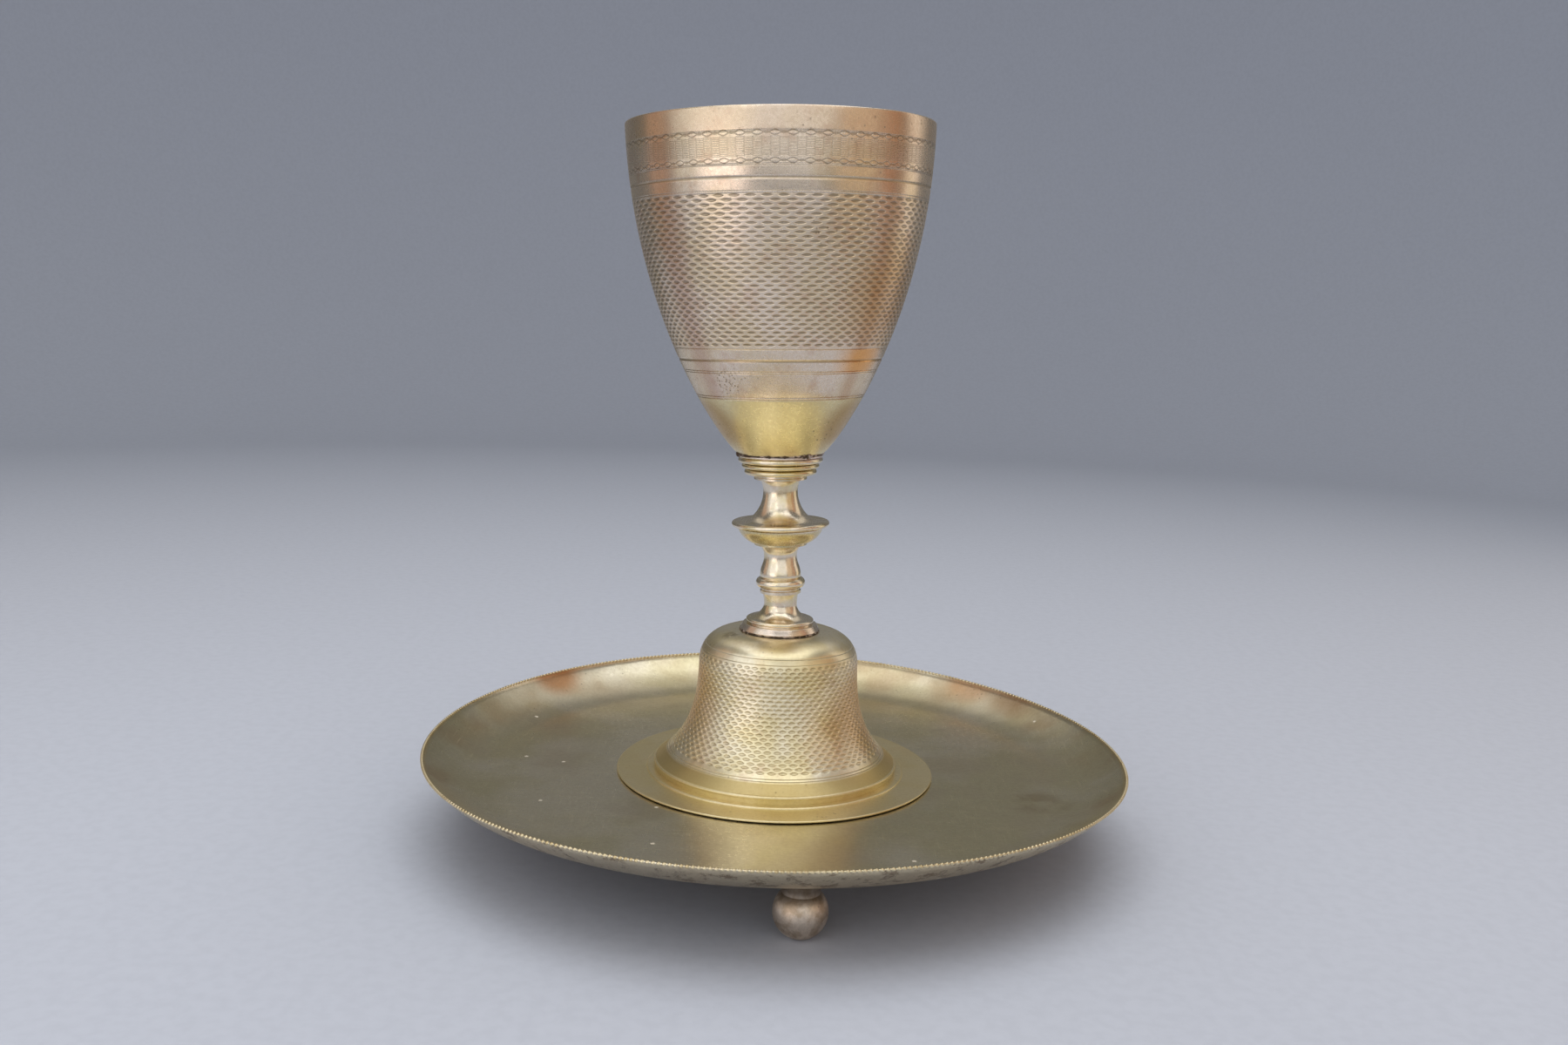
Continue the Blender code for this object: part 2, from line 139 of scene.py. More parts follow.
# Bell foot
BELL_WALL = 1.0 * MM
BELL_TOP_RADIUS = 14.0 * MM
BELL_WAIST_RADIUS = 25.0 * MM
BELL_DOME_HEIGHT = 10.2 * MM
BELL_DOME_PULL = 0.62
FLANGE_THICKNESS = 0.65 * MM
FLANGE_WIDTH = 9.3 * MM
RIDGE_STEP = 2.3 * MM
RIDGE_ROUND = 0.6 * MM
LOWER_RIDGE_HEIGHT = 0.55 * MM
UPPER_RIDGE_HEIGHT = 3.0 * MM
RIDGE_TOP = BELL_BASE + FLANGE_THICKNESS + UPPER_RIDGE_HEIGHT
FLARE_STRAIGHT = 0.5
FLARE_SPREAD = 0.3
FLARE_SETTLE = 0.22

# Bowl
BOWL_HEIGHT = 98.2 * MM
BOWL_MOUTH_RADIUS = 46.4 * MM
BOWL_BASE_RADIUS = TOP_DISC_RADIUS + 0.2 * MM
BOWL_WALL = 0.9 * MM
BOWL_FLOOR = 1.2 * MM
BOWL_HEEL_SPREAD = 2.35 * MM
BOWL_HEEL_SHARE = 0.009
BOWL_SHOULDER_INSET = 1.9 * MM
BOWL_SHOULDER_SHARE = 0.384
BOWL_OUT_OF_ROUND = 0.0012

# The engine-turned cells: lens-shaped cuts in rows, each row half a cell on from the last
CELLS = 60
CELL_COLUMNS = 6
ROW_PITCH = 1.25 * MM
ROW_RINGS = 4
LENS_HALF_WIDTH = 0.46
LENS_HALF_HEIGHT = 0.5
LENS_DEPTH = 0.15 * MM
CELL_TURN = math.radians(1.6)

# The bowl's bands, as heights above its base
TOP_ROW_HEIGHT = 74.65 * MM
LOW_ROW_HEIGHT = 33.2 * MM
BOWL_LINES = [h * MM for h in (17.7, 18.4, 25.4, 26.0, 32.5, 75.1, 75.85, 82.5, 82.9, 91.25, 91.6)]
BOWL_GROOVES = [29.05 * MM, 79.3 * MM]
GUILLOCHE_LOW = 83.9 * MM
GUILLOCHE_HIGH = 90.65 * MM
SCALLOP_RISE = 0.42 * MM
SCALLOP_GAP = 0.5 * MM
SCALLOP_HALF_WIDTH = 0.17 * MM
DASH_PITCH = 0.458 * MM
DASH_DEPTH = 0.04 * MM

# This step is too wide to follow a dash: the mesh is only rough there, and the material draws the dashes
DASH_RING_STEP = 0.65 * DASH_PITCH

# Turned lines and grooves
LINE_HALF_WIDTH = 0.13 * MM
LINE_DEPTH = 0.06 * MM
GROOVE_HALF_WIDTH = 0.45 * MM
BAND_GROOVE_DEPTH = 0.22 * MM

# The bell's bands, as heights above the floor
BELL_LINES = [h * MM for h in (60.3, 58.7)]
BELL_TOP_ROW = 57.6 * MM
BELL_LOW_ROW = 27.4 * MM
BELL_LOW_LINES = [h * MM for h in (26.6, 26.0)]

# Steps along a moulding, and distances between the rings of a skin (the bowl's in millimetres)
FINE = 12
LEAST_RING_STEP = 0.06 * MM
BOWL_RING_STEP = 1.6
BELL_RING_STEP = 0.8 * MM
DISH_WALL_STEPS = 16
SHARP_ANGLE = math.radians(38)

# The camera, fitted to the photograph's outlines
CAMERA_LENS = 32.74
CAMERA_ASIDE = 0.0002
CAMERA_BACK = 0.43912
CAMERA_OVER_RIM = 0.13687
CAMERA_DIP = 0.1515
CAMERA_ROLL = 0.0366

# The studio: a round floor that turns up into a wall, and the place that every light is aimed at
FLOOR_RADIUS = 0.7
WALL_RADIUS = 1.7
WALL_CURVE = 0.5
WALL_HEIGHT = 2.2
LIGHT_AIM = Vector((0.0, 0.0, 0.12))


def linear(code, alpha=1.0):
    """An sRGB hex colour turned to linear."""
    levels = [int(code[i:i + 2], 16) / 255 for i in (0, 2, 4)]
    return (*((v / 12.92) if v <= 0.04045 else ((v + 0.055) / 1.055) ** 2.4 for v in levels), alpha)


def arc(center_r, center_z, radius_r, start, end, steps=FINE, radius_z=None):
    """Points (r, z) on an arc, from one angle to another, both included; angles in degrees from +r."""
    radius_z = radius_r if radius_z is None else radius_z
    turn = np.radians(np.linspace(start, end, steps + 1))
    return np.stack([center_r + radius_r * np.cos(turn), center_z + radius_z * np.sin(turn)], axis=1)


def bezier(p0, p1, p2, p3, steps=FINE):
    """Points (r, z) on a cubic curve, both ends included."""
    t = np.linspace(0.0, 1.0, steps + 1)[:, None]
    s = 1.0 - t
    start, pull_in, pull_out, end = (np.array(p) for p in (p0, p1, p2, p3))
    return s ** 3 * start + 3 * s * s * t * pull_in + 3 * s * t * t * pull_out + t ** 3 * end


def sweep(start, end, pull, steps=FINE):
    """A curve that leaves its start level and reaches its end upright."""
    corner_in = (start[0] + pull * (end[0] - start[0]), start[1])
    corner_out = (end[0], end[1] - pull * (end[1] - start[1]))
    return bezier(start, corner_in, corner_out, end, steps)


def bead(radius, base, height):
    """A half-round moulding on a turned piece, from its base up."""
    depth = 0.5 * height
    return arc(radius - depth, base + depth, depth, -90, 90)


def outline(*parts):
    """Joins points and runs of points into one profile."""
    return np.concatenate([np.atleast_2d(np.array(part, float)) for part in parts])


def lengths(path):
    """How far along the profile each of its points lies."""
    return np.concatenate([[0.0], np.cumsum(np.hypot(*np.diff(path, axis=0).T))])


def out_from(path):
    """The unit direction at each point of a profile, square to it and to the right of its travel."""
    along = np.gradient(path, axis=0)
    along /= np.linalg.norm(along, axis=1)[:, None]
    return np.stack([along[:, 1], -along[:, 0]], axis=1)


def at(path, stations):
    """Points of a profile at given lengths along it."""
    return np.stack([np.interp(stations, lengths(path), path[:, k]) for k in (0, 1)], axis=1)


def ripple(points, size, height, seed):
    """Small hand-made unevenness: a few slow waves through space, from -height to height."""
    rng = np.random.default_rng(seed)
    waves = rng.normal(size=(6, 3))
    waves *= 2 * math.pi / (size * np.linalg.norm(waves, axis=1)[:, None])
    phases = rng.uniform(0, 2 * math.pi, 6)
    return height * np.sin(points @ waves.T + phases).mean(axis=-1)


def new_piece(name, vertices, faces, material, slot, node=None):
    """A mesh piece that rides with the object, and stands for a solid where one is named."""
    mesh = bpy.data.meshes.new(name)
    mesh.from_pydata(vertices.tolist(), [], faces)
    mesh.shade_smooth()
    mesh.set_sharp_from_angle(angle=SHARP_ANGLE)
    piece = bpy.data.objects.new(name, mesh)
    piece.data.materials.append(material)
    bpy.context.scene.collection.objects.link(piece)
    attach(piece, "root")
    if node:
        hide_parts(node)
    return piece


def turned(name, path, sides, material, slot, node=None, place=None, cut=None, down=None):
    """A closed turned skin. Its profile runs from the axis, out, up and back to the axis.

    cut gives the depth of engraving at each ring and column, and down the distance from the top row of cells.
    The map named engraving holds cells round and millimetres down, for the material to draw in.
    """
    turn = 2 * math.pi * np.arange(sides) / sides
    angle = turn + CELL_TURN - 0.5 * math.pi
    sunk = np.zeros((len(path), sides)) if cut is None else cut
    ways = out_from(path)
    radius = path[:, :1] - sunk * ways[:, :1]
    height = path[:, 1:] - sunk * ways[:, 1:]
    rings = np.stack([radius * np.cos(angle), radius * np.sin(angle), height + 0.0 * angle], axis=2)[1:-1]
    low_tip = (0.0, 0.0, path[0, 1])
    high_tip = (0.0, 0.0, path[-1, 1])
    vertices = np.concatenate([rings.reshape(-1, 3), [low_tip, high_tip]])
    if place is not None:
        vertices = place(vertices)
    count = len(rings)
    here = np.arange(sides)
    there = (here + 1) % sides
    starts = sides * np.arange(count - 1)[:, None]
    quads = np.stack([starts + here, starts + there, starts + sides + there, starts + sides + here], axis=2)
    tip = count * sides
    top = sides * (count - 1)
    faces = quads.reshape(-1, 4).tolist()
    faces += np.stack([0 * here + tip, there, here], axis=1).tolist()
    faces += np.stack([top + here, top + there, 0 * here + tip + 1], axis=1).tolist()
    piece = new_piece(name, vertices, faces, material, slot, node)
    if down is not None:
        cells = CELLS * np.stack([here, here + 1, here + 1, here], axis=1) / sides
        drop = down[1:-1] / MM
        rows = np.stack([drop[:-1], drop[:-1], drop[1:], drop[1:]], axis=1)
        drawn = np.empty((count - 1, sides, 4, 2))
        drawn[..., 0] = cells[None]
        drawn[..., 1] = rows[:, None]
        caps = np.zeros((6 * sides, 2))
        caps[:3 * sides, 1] = drop[0]
        caps[3 * sides:, 1] = drop[-1]
        layer = piece.data.uv_layers.new(name="engraving")
        layer.data.foreach_set("uv", np.concatenate([drawn.reshape(-1, 2), caps]).ravel())
    return piece


def leaned(points):
    """Turns everything above the bend to the left, about the stem's axis at the bend."""
    pivot = np.array([0.0, 0.0, BEND_HEIGHT])
    tilt = np.array(Matrix.Rotation(-STEM_LEAN, 3, "Y"))
    return np.where(points[:, 2:] > BEND_HEIGHT, (points - pivot) @ tilt.T + pivot, points)


def lens(cell, row):
    """Depth of the lens cuts, 0 to 1, in cells round and rows down."""
    nearest = np.round(row)
    across = cell - 0.5 * (nearest % 2)
    across = across - np.round(across)
    return np.clip(1.0 - np.abs(row - nearest) / LENS_HALF_HEIGHT - (across / LENS_HALF_WIDTH) ** 2, 0.0, 1.0)


def notch(distance, half_width):
    """Depth of a turned line, 0 to 1, at a distance from its middle."""
    return np.clip(1.0 - np.abs(distance) / half_width, 0.0, 1.0)


def guilloche(cell, height):
    """Depth of the band of short dashes between two scalloped borders, 0 to 1 of a line's depth."""
    wave = SCALLOP_RISE * np.cos(2 * math.pi * cell)
    high = GUILLOCHE_HIGH + wave
    low = GUILLOCHE_LOW - wave
    cut = notch(height - high, SCALLOP_HALF_WIDTH) + notch(height - low, SCALLOP_HALF_WIDTH)
    cut += notch(height - high - SCALLOP_GAP + 2 * wave, SCALLOP_HALF_WIDTH)
    cut += notch(height - low + SCALLOP_GAP - 2 * wave, SCALLOP_HALF_WIDTH)
    shift = np.round(2 * cell) % 2
    dash = 0.5 + 0.5 * np.cos(2 * math.pi * (height / DASH_PITCH + 0.5 * shift))
    inside = (height > low + SCALLOP_GAP) & (height < high - SCALLOP_GAP)
    return np.clip(cut, 0.0, 1.0) + np.where(inside, DASH_DEPTH / LINE_DEPTH * dash, 0.0)


def stations_for(plain, rows, lines, length):
    """Ring places along a wall: wide steps on plain metal, narrow ones over and beside the cuts."""
    beside = np.array([-1.5, -1.0, 0.0, 1.0, 1.5])
    places = [plain, rows] + [line + half * beside for line, half in lines]
    places = np.sort(np.concatenate(places + [[0.0, length]]))
    places = places[(places >= 0.0) & (places <= length)]
    keep = np.concatenate([[True], np.diff(places) > LEAST_RING_STEP])
    return places[keep]


def bowl_wall():
    """The outer side of the bowl from base to lip, its heights counted from the base."""
    return bezier(
        (BOWL_BASE_RADIUS, 0.0),
        (BOWL_BASE_RADIUS + BOWL_HEEL_SPREAD, BOWL_HEEL_SHARE * BOWL_HEIGHT),
        (BOWL_MOUTH_RADIUS - BOWL_SHOULDER_INSET, BOWL_SHOULDER_SHARE * BOWL_HEIGHT),
        (BOWL_MOUTH_RADIUS, BOWL_HEIGHT - 0.5 * BOWL_WALL),
        600,
    )


def bowl_reach(height):
    """How far along the bowl's wall a height above its base lies."""
    wall = bowl_wall()
    return float(np.interp(height, wall[:, 1], lengths(wall)))


def bowl_down(height):
    """The same place in millimetres along the wall, counted down from the top row of cells."""
    return (bowl_reach(TOP_ROW_HEIGHT) - bowl_reach(height)) / MM


def bell_reach(height):
    """How far down the bell's wall from its top a height above the floor lies."""
    wall = bell_walls()[0]
    return float(np.interp(-height, -wall[:, 1], lengths(wall)))


def bell_down(height):
    """The same place in millimetres along the wall, counted down from the bell's top row of cells."""
    return (bell_reach(height) - bell_reach(BELL_TOP_ROW)) / MM


def rows_between(high, low):
    """How many rows of cells a stretch of wall holds."""
    return int((low - high) * MM / ROW_PITCH) + 1


def bowl_skin(base, material):
    """The raised bowl with its engraved bands, leaning with the stem that carries it."""
    wall = bowl_wall()
    length = lengths(wall)
    reach = bowl_reach
    first = reach(TOP_ROW_HEIGHT)
    row_count = rows_between(0.0, bowl_down(LOW_ROW_HEIGHT))
    rows = first - ROW_PITCH * np.arange(-0.5, row_count - 0.49, 1 / ROW_RINGS)
    margin = 1.1 * MM
    band = np.arange(reach(GUILLOCHE_LOW) - margin, reach(GUILLOCHE_HIGH) + margin, DASH_RING_STEP)
    lines = [(reach(h), LINE_HALF_WIDTH) for h in BOWL_LINES]
    lines += [(reach(h), GROOVE_HALF_WIDTH) for h in BOWL_GROOVES]
    # Even steps, in millimetres, wherever neither the rows nor the band of dashes lie
    even = [h for h in np.arange(1.0, 98.0, BOWL_RING_STEP) if not (32.7 < h < 75.2 or 82.6 < h < 92.0)]
    plain = np.array([reach(h * MM) for h in even])
    stations = stations_for(plain, np.concatenate([rows, band]), lines, length[-1])
    outside = at(wall, stations)
    cell = CELLS * np.arange(CELLS * CELL_COLUMNS)[None] / (CELLS * CELL_COLUMNS)
    down = (first - stations)[:, None]
    height = outside[:, 1:]
    in_rows = (down > -0.5 * ROW_PITCH) & (down < (row_count - 0.5) * ROW_PITCH)
    cut = np.where(in_rows, LENS_DEPTH * lens(cell, down / ROW_PITCH), 0.0)
    cut = cut + LINE_DEPTH * guilloche(cell, height)
    for h in BOWL_LINES:
        cut = cut + LINE_DEPTH * notch(height - h, LINE_HALF_WIDTH)
    for h in BOWL_GROOVES:
        cut = cut + BAND_GROOVE_DEPTH * notch(height - h, GROOVE_HALF_WIDTH)
    lip = arc(BOWL_MOUTH_RADIUS - 0.5 * BOWL_WALL, BOWL_HEIGHT - 0.5 * BOWL_WALL, 0.5 * BOWL_WALL, 0, 180, 6)
    inner = wall - BOWL_WALL * out_from(wall)
    inner = inner[(inner[:, 1] > 1.5 * BOWL_FLOOR) & (inner[:, 1] < BOWL_HEIGHT - BOWL_WALL)][::-50]
    well = sweep((0.0, BOWL_FLOOR), inner[-1], 0.6, 4)[::-1]
    path = outline((0.0, 0.0), outside, lip[1:], inner, well[1:])
    depth = np.zeros((len(path), cut.shape[1]))
    depth[1:len(outside) + 1] = cut
    drop = np.full(len(path), down[-1, 0] - 10 * MM)
    drop[1:len(outside) + 1] = down[:, 0]
    drop[0] = down[0, 0]

    def place(points):
        points = points * (1 + ripple(points, 38 * MM, BOWL_OUT_OF_ROUND, 3)[:, None] * [1, 1, 0])
        return leaned(points + np.array([0.0, 0.0, base]))

    sides = CELLS * CELL_COLUMNS
    return turned("engraved_bowl", path, sides, material, "worn_gilt", "bowl", place, depth, drop)


def bell_walls():
    """The outside of the bell in two runs: dome and flare down to the foot, then ridges and flange."""
    waist = (BELL_WAIST_RADIUS, BELL_TOP - BELL_DOME_HEIGHT)
    flange_top = BELL_BASE + FLANGE_THICKNESS
    ridge_r = FLANGE_RADIUS - FLANGE_WIDTH - RIDGE_STEP - RIDGE_ROUND
    ridge_z = flange_top + UPPER_RIDGE_HEIGHT - RIDGE_ROUND
    foot = (ridge_r, ridge_z + RIDGE_ROUND)
    fall = waist[1] - foot[1]
    spread = foot[0] - waist[0]
    dome = sweep((BELL_TOP_RADIUS, BELL_TOP), waist, BELL_DOME_PULL, 200)
    flare = bezier(
        waist,
        (waist[0], waist[1] - FLARE_STRAIGHT * fall),
        (waist[0] + FLARE_SPREAD * spread, foot[1] + FLARE_SETTLE * fall),
        foot,
        400,
    )
    upper_ridge = arc(ridge_r, ridge_z, RIDGE_ROUND, 90, -60, 8)
    hollow = (ridge_r + 0.1 * MM, flange_top + LOWER_RIDGE_HEIGHT)
    lower_r = FLANGE_RADIUS - FLANGE_WIDTH - RIDGE_ROUND
    lower_ridge = arc(lower_r, flange_top, RIDGE_ROUND, 90, 0, 6, LOWER_RIDGE_HEIGHT)
    edge = arc(FLANGE_RADIUS - 0.5 * FLANGE_THICKNESS, BELL_BASE + 0.5 * FLANGE_THICKNESS,
               0.5 * FLANGE_THICKNESS, 90, -90, 6)
    shelf = [(r, flange_top) for r in np.linspace(lower_ridge[-1][0] + 0.4 * MM, edge[0][0] - 0.4 * MM, 5)]
    return np.concatenate([dome, flare[1:]]), outline(upper_ridge[1:], hollow, lower_ridge, shelf, edge)


def bell_skin(material):
    """The hollow bell foot with its engraved rows; it is open below."""
    wall, ridges = bell_walls()
    length = lengths(wall)
    reach = bell_reach
    first = reach(BELL_TOP_ROW)
    row_count = rows_between(0.0, bell_down(BELL_LOW_ROW))
    rows = first + ROW_PITCH * np.arange(-0.5, row_count - 0.49, 1 / ROW_RINGS)
    lines = [(reach(h), LINE_HALF_WIDTH) for h in BELL_LINES + BELL_LOW_LINES]
    above = np.arange(0.0, first - ROW_PITCH, BELL_RING_STEP)
    below = np.arange(rows[-1] + MM, length[-1], BELL_RING_STEP)
    stations = stations_for(np.concatenate([above, below]), rows, lines, length[-1])
    outside = at(wall, stations)
    sides = CELLS * CELL_COLUMNS
    cell = CELLS * np.arange(sides)[None] / sides
    down = (stations - first)[:, None]
    in_rows = (down > -0.5 * ROW_PITCH) & (down < (row_count - 0.5) * ROW_PITCH)
    cut = np.where(in_rows, LENS_DEPTH * lens(cell, down / ROW_PITCH), 0.0)
    for line, half in lines:
        cut = cut + LINE_DEPTH * notch(stations[:, None] - line, half)
    inner = (wall + BELL_WALL * out_from(wall))[::-30]
    rim = (inner[0][0], BELL_BASE)
    around = outline((0.0, BELL_TOP), outside, ridges, rim, inner[1:], (0.0, BELL_TOP - BELL_WALL))
    depth = np.zeros((len(around), sides))
    depth[1:len(outside) + 1] = -cut
    drop = np.full(len(around), down[-1, 0] + 10 * MM)
    drop[0] = down[0, 0]
    drop[1:len(outside) + 1] = down[:, 0]
    return turned("engraved_bell_foot", around[::-1], sides, material, "worn_gilt", "bell_foot",
                  None, -depth[::-1], drop[::-1])


def stem_skin(material):
    """The turned baluster, built up member by member from the foot ring to the disc that carries the bowl."""
    z = STEM_BASE
    disc_radius = FOOT_RING_RADIUS - FOOT_RING_TAPER - FOOT_DISC_INSET
    knop_radius = CUP_RADIUS + KNOP_LIP
    groove_r = disc_radius - GROOVE_DEPTH
    parts = [(0.0, z), arc(FOOT_RING_RADIUS - EDGE_ROUND, z + EDGE_ROUND, EDGE_ROUND, -90, 0, 4)]
    z += FOOT_RING_HEIGHT
    shoulder = FOOT_RING_RADIUS - FOOT_RING_TAPER
    parts += [arc(shoulder - EDGE_ROUND, z - EDGE_ROUND, EDGE_ROUND, 30, 90, 3)]
    parts += [(groove_r, z), (groove_r, z + THIN_GROOVE)]
    z += THIN_GROOVE
    ring = bead(disc_radius, z, FOOT_DISC_HEIGHT)
    neck = (LOWER_NECK_RADIUS, BEND_HEIGHT)
    z = LOWER_NECK_BASE + LOWER_NECK_HEIGHT
    rest = z - BEND_HEIGHT
    upper_part = [(LOWER_NECK_RADIUS + GROOVE_DEPTH * t * t, BEND_HEIGHT + rest * t)
                  for t in (0.3, 0.6, 0.8, 1)]
    parts += [ring[:-1], sweep(ring[-1], neck, NECK_PULL), upper_part]
    parts += [(COLLAR_RADIUS, z), (COLLAR_RADIUS, z + COLLAR_HEIGHT)]
    z += COLLAR_HEIGHT
    groove_r = COLLAR_RADIUS - GROOVE_DEPTH
    parts += [(groove_r, z + 0.3 * WIDE_GROOVE), (groove_r, z + 0.7 * WIDE_GROOVE)]
    z += WIDE_GROOVE
    parts += [bead(RING_KNOP_RADIUS, z, RING_KNOP_HEIGHT)]
    z += RING_KNOP_HEIGHT + KNOP_GROOVE
    top = z + MIDDLE_NECK_HEIGHT
    waist = z + MIDDLE_NECK_WAIST * MIDDLE_NECK_HEIGHT
    middle = 0.5 * (z + waist)
    parts += [bezier((MIDDLE_NECK_FOOT_RADIUS, z), (MIDDLE_NECK_FOOT_RADIUS, middle),
                     (MIDDLE_NECK_RADIUS, middle), (MIDDLE_NECK_RADIUS, waist))]
    parts += [sweep((CUP_LINE_RADIUS - GROOVE_DEPTH, top), (MIDDLE_NECK_RADIUS, waist), NECK_PULL)[-2::-1]]
    z = top
    parts += [(CUP_LINE_RADIUS, z), (CUP_LINE_RADIUS, z + CUP_LINE_HEIGHT)]
    z += CUP_LINE_HEIGHT
    cup_foot = (CUP_LINE_RADIUS + THIN_GROOVE, z)
    z += CUP_HEIGHT
    parts += [sweep(cup_foot, (CUP_RADIUS, z), CUP_PULL), (CUP_RADIUS - GROOVE_DEPTH, z + 0.5 * KNOP_GROOVE)]
    z += KNOP_GROOVE
    parts += [bead(knop_radius, z, KNOP_HEIGHT)]
    z += KNOP_HEIGHT
    top = z + UPPER_NECK_HEIGHT
    throat = z + UPPER_NECK_WAIST * UPPER_NECK_HEIGHT
    parts += [sweep((knop_radius - 2 * KNOP_HEIGHT, z), (UPPER_NECK_RADIUS, throat), NECK_PULL)]
    parts += [sweep((UPPER_NECK_RADIUS + NECK_FLARE, top), (UPPER_NECK_RADIUS, throat), NECK_PULL)[-2::-1]]
    z = top
    parts += [(NECK_LINE_RADIUS, z), (NECK_LINE_RADIUS, z + NECK_LINE_HEIGHT)]
    z += NECK_LINE_HEIGHT
    groove_r = NECK_LINE_RADIUS - THIN_GROOVE
    parts += [(groove_r, z + 0.2 * WIDE_GROOVE), (groove_r, z + WIDE_GROOVE)]
    z += WIDE_GROOVE
    parts += [bead(TOP_DISC_RADIUS - LOWER_STEP_INSET, z, LOWER_STEP_HEIGHT)]
    z += LOWER_STEP_HEIGHT + THIN_GROOVE
    parts += [bead(TOP_DISC_RADIUS - UPPER_STEP_INSET, z, UPPER_STEP_HEIGHT)]
    z += UPPER_STEP_HEIGHT + THIN_GROOVE
    parts += [bead(TOP_DISC_RADIUS, z, TOP_BULGE_HEIGHT)]
    z += TOP_DISC_HEIGHT
    plate = 0.5 * (TOP_DISC_HEIGHT - TOP_BULGE_HEIGHT)
    parts += [arc(TOP_DISC_RADIUS - plate, z - plate, plate, -80, 90, 6), (0.0, z)]
    turned("turned_stem", outline(*parts), 144, material, "tarnished_silver", "stem", leaned)
    return z


def warped(points):
    """The thin dish wall is a little out of true: high at front and back, low at the sides."""
    reach = np.hypot(points[:, 0], points[:, 1])
    share = np.clip((reach - DISH_FLAT_RADIUS) / DISH_WALL_RUN, 0.0, None)
    angle = np.arctan2(points[:, 1], points[:, 0]) - DISH_WARP_TURN
    drop = DISH_WARP * share * np.cos(2 * angle)
    return points - np.stack([0 * drop, 0 * drop, drop], axis=1)


def dish_skin(material):
    """The dish: a flat floor with a faint hand-beaten unevenness, the curved wall and its rolled edge."""
    edge_radius = 0.5 * DISH_EDGE_RADIUS
    edge_r = DISH_RADIUS - DISH_EDGE_RADIUS
    edge_z = DISH_RIM - DISH_EDGE_RADIUS
    run = edge_r - DISH_FLAT_RADIUS
    rise = edge_z - DISH_FLOOR
    curve = (run * run + rise * rise) / (2 * rise)
    top = math.degrees(math.atan2(run, curve - rise)) - 90
    center = DISH_FLOOR + curve
    under = [(r, UNDERSIDE) for r in np.linspace(0.0, DISH_FLAT_RADIUS, 14)[:-1]]
    middle = np.array([DISH_FLAT_RADIUS, center])
    thinning = (np.arange(DISH_WALL_STEPS + 1)[:, None] / DISH_WALL_STEPS) ** 3
    thick = DISH_WALL * (1.0 - DISH_RIM_THINNING * thinning)
    wall_top = top - 1.2
    wall = arc(DISH_FLAT_RADIUS, center, curve, -90, wall_top, DISH_WALL_STEPS)
    outside = middle + (wall - middle) * (1.0 + thick / curve)
    edge = arc(edge_r, edge_z, edge_radius, top - 60, top + 210, 12)
    inside = arc(DISH_FLAT_RADIUS, center, curve, wall_top, -90, DISH_WALL_STEPS)
    floor = [(r, DISH_FLOOR) for r in np.linspace(DISH_FLAT_RADIUS, 0.0, 18)[1:]]

    def place(points):
        wave = ripple(points * [1, 1, 0], 60 * MM, 0.1 * MM, 8)
        reach = np.hypot(points[:, 0], points[:, 1])
        flat = np.clip((reach - FLANGE_RADIUS) / (30 * MM), 0.0, 1.0) * (points[:, 2] < DISH_RIM - 2 * MM)
        return warped(points + np.stack([0 * wave, 0 * wave, wave * flat], axis=1))

    path = outline(under, outside, edge, inside, floor)
    return turned("raised_dish", path, 320, material, "dark_bronze", "dish", place)


def ring(name, radius, height, columns, thick, material, slot, place, steps=8):
    """A closed ring round the object's axis; thick gives its own radius at each column."""
    turn = 2 * math.pi * np.arange(columns)[:, None] / columns - 0.5 * math.pi
    around = 2 * math.pi * np.arange(steps)[None] / steps
    reach = radius + thick[:, None] * np.cos(around)
    rise = height + thick[:, None] * np.sin(around)
    points = np.stack([reach * np.cos(turn), reach * np.sin(turn), rise], axis=2).reshape(-1, 3)
    here = steps * np.arange(columns)[:, None] + np.arange(steps)[None]
    up = steps * np.arange(columns)[:, None] + (np.arange(steps)[None] + 1) % steps
    on = (here + steps) % (steps * columns)
    on_up = (up + steps) % (steps * columns)
    faces = np.stack([here, on, on_up, up], axis=2).reshape(-1, 4).tolist()
    return new_piece(name, place(points), faces, material, slot)


def rim_beading(material):
    """The milled beads that run round the edge of the dish."""
    steps = 4
    swell = np.abs(np.cos(math.pi * np.arange(BEAD_COUNT * steps) / steps)) ** 0.6
    thick = BEAD_RADIUS * (BEAD_NECK + (1 - BEAD_NECK) * swell)
    edge_r = DISH_RADIUS - DISH_EDGE_RADIUS
    edge_z = DISH_RIM - DISH_EDGE_RADIUS
    return ring("rim_beading", edge_r, edge_z, BEAD_COUNT * steps, thick, material, "dark_bronze", warped)


def solder_seam(name, radius, height, size, seed, material):
    """A ragged run of solder round a joint: lumps and gaps, never thicker than size."""
    columns = 720
    rng = np.random.default_rng(seed)
    turn = 2 * math.pi * np.arange(columns) / columns
    lumps = sum(np.sin(k * turn + rng.uniform(0, 6.3)) / k ** 0.4 for k in (3, 7, 13, 19, 31, 53, 89))
    lumps = (lumps - lumps.min()) / (lumps.max() - lumps.min())
    thick = size * (0.2 + 0.8 * lumps ** 2.2)
    return ring(name, radius, height, columns, thick, material, "tarnished_silver", leaned)


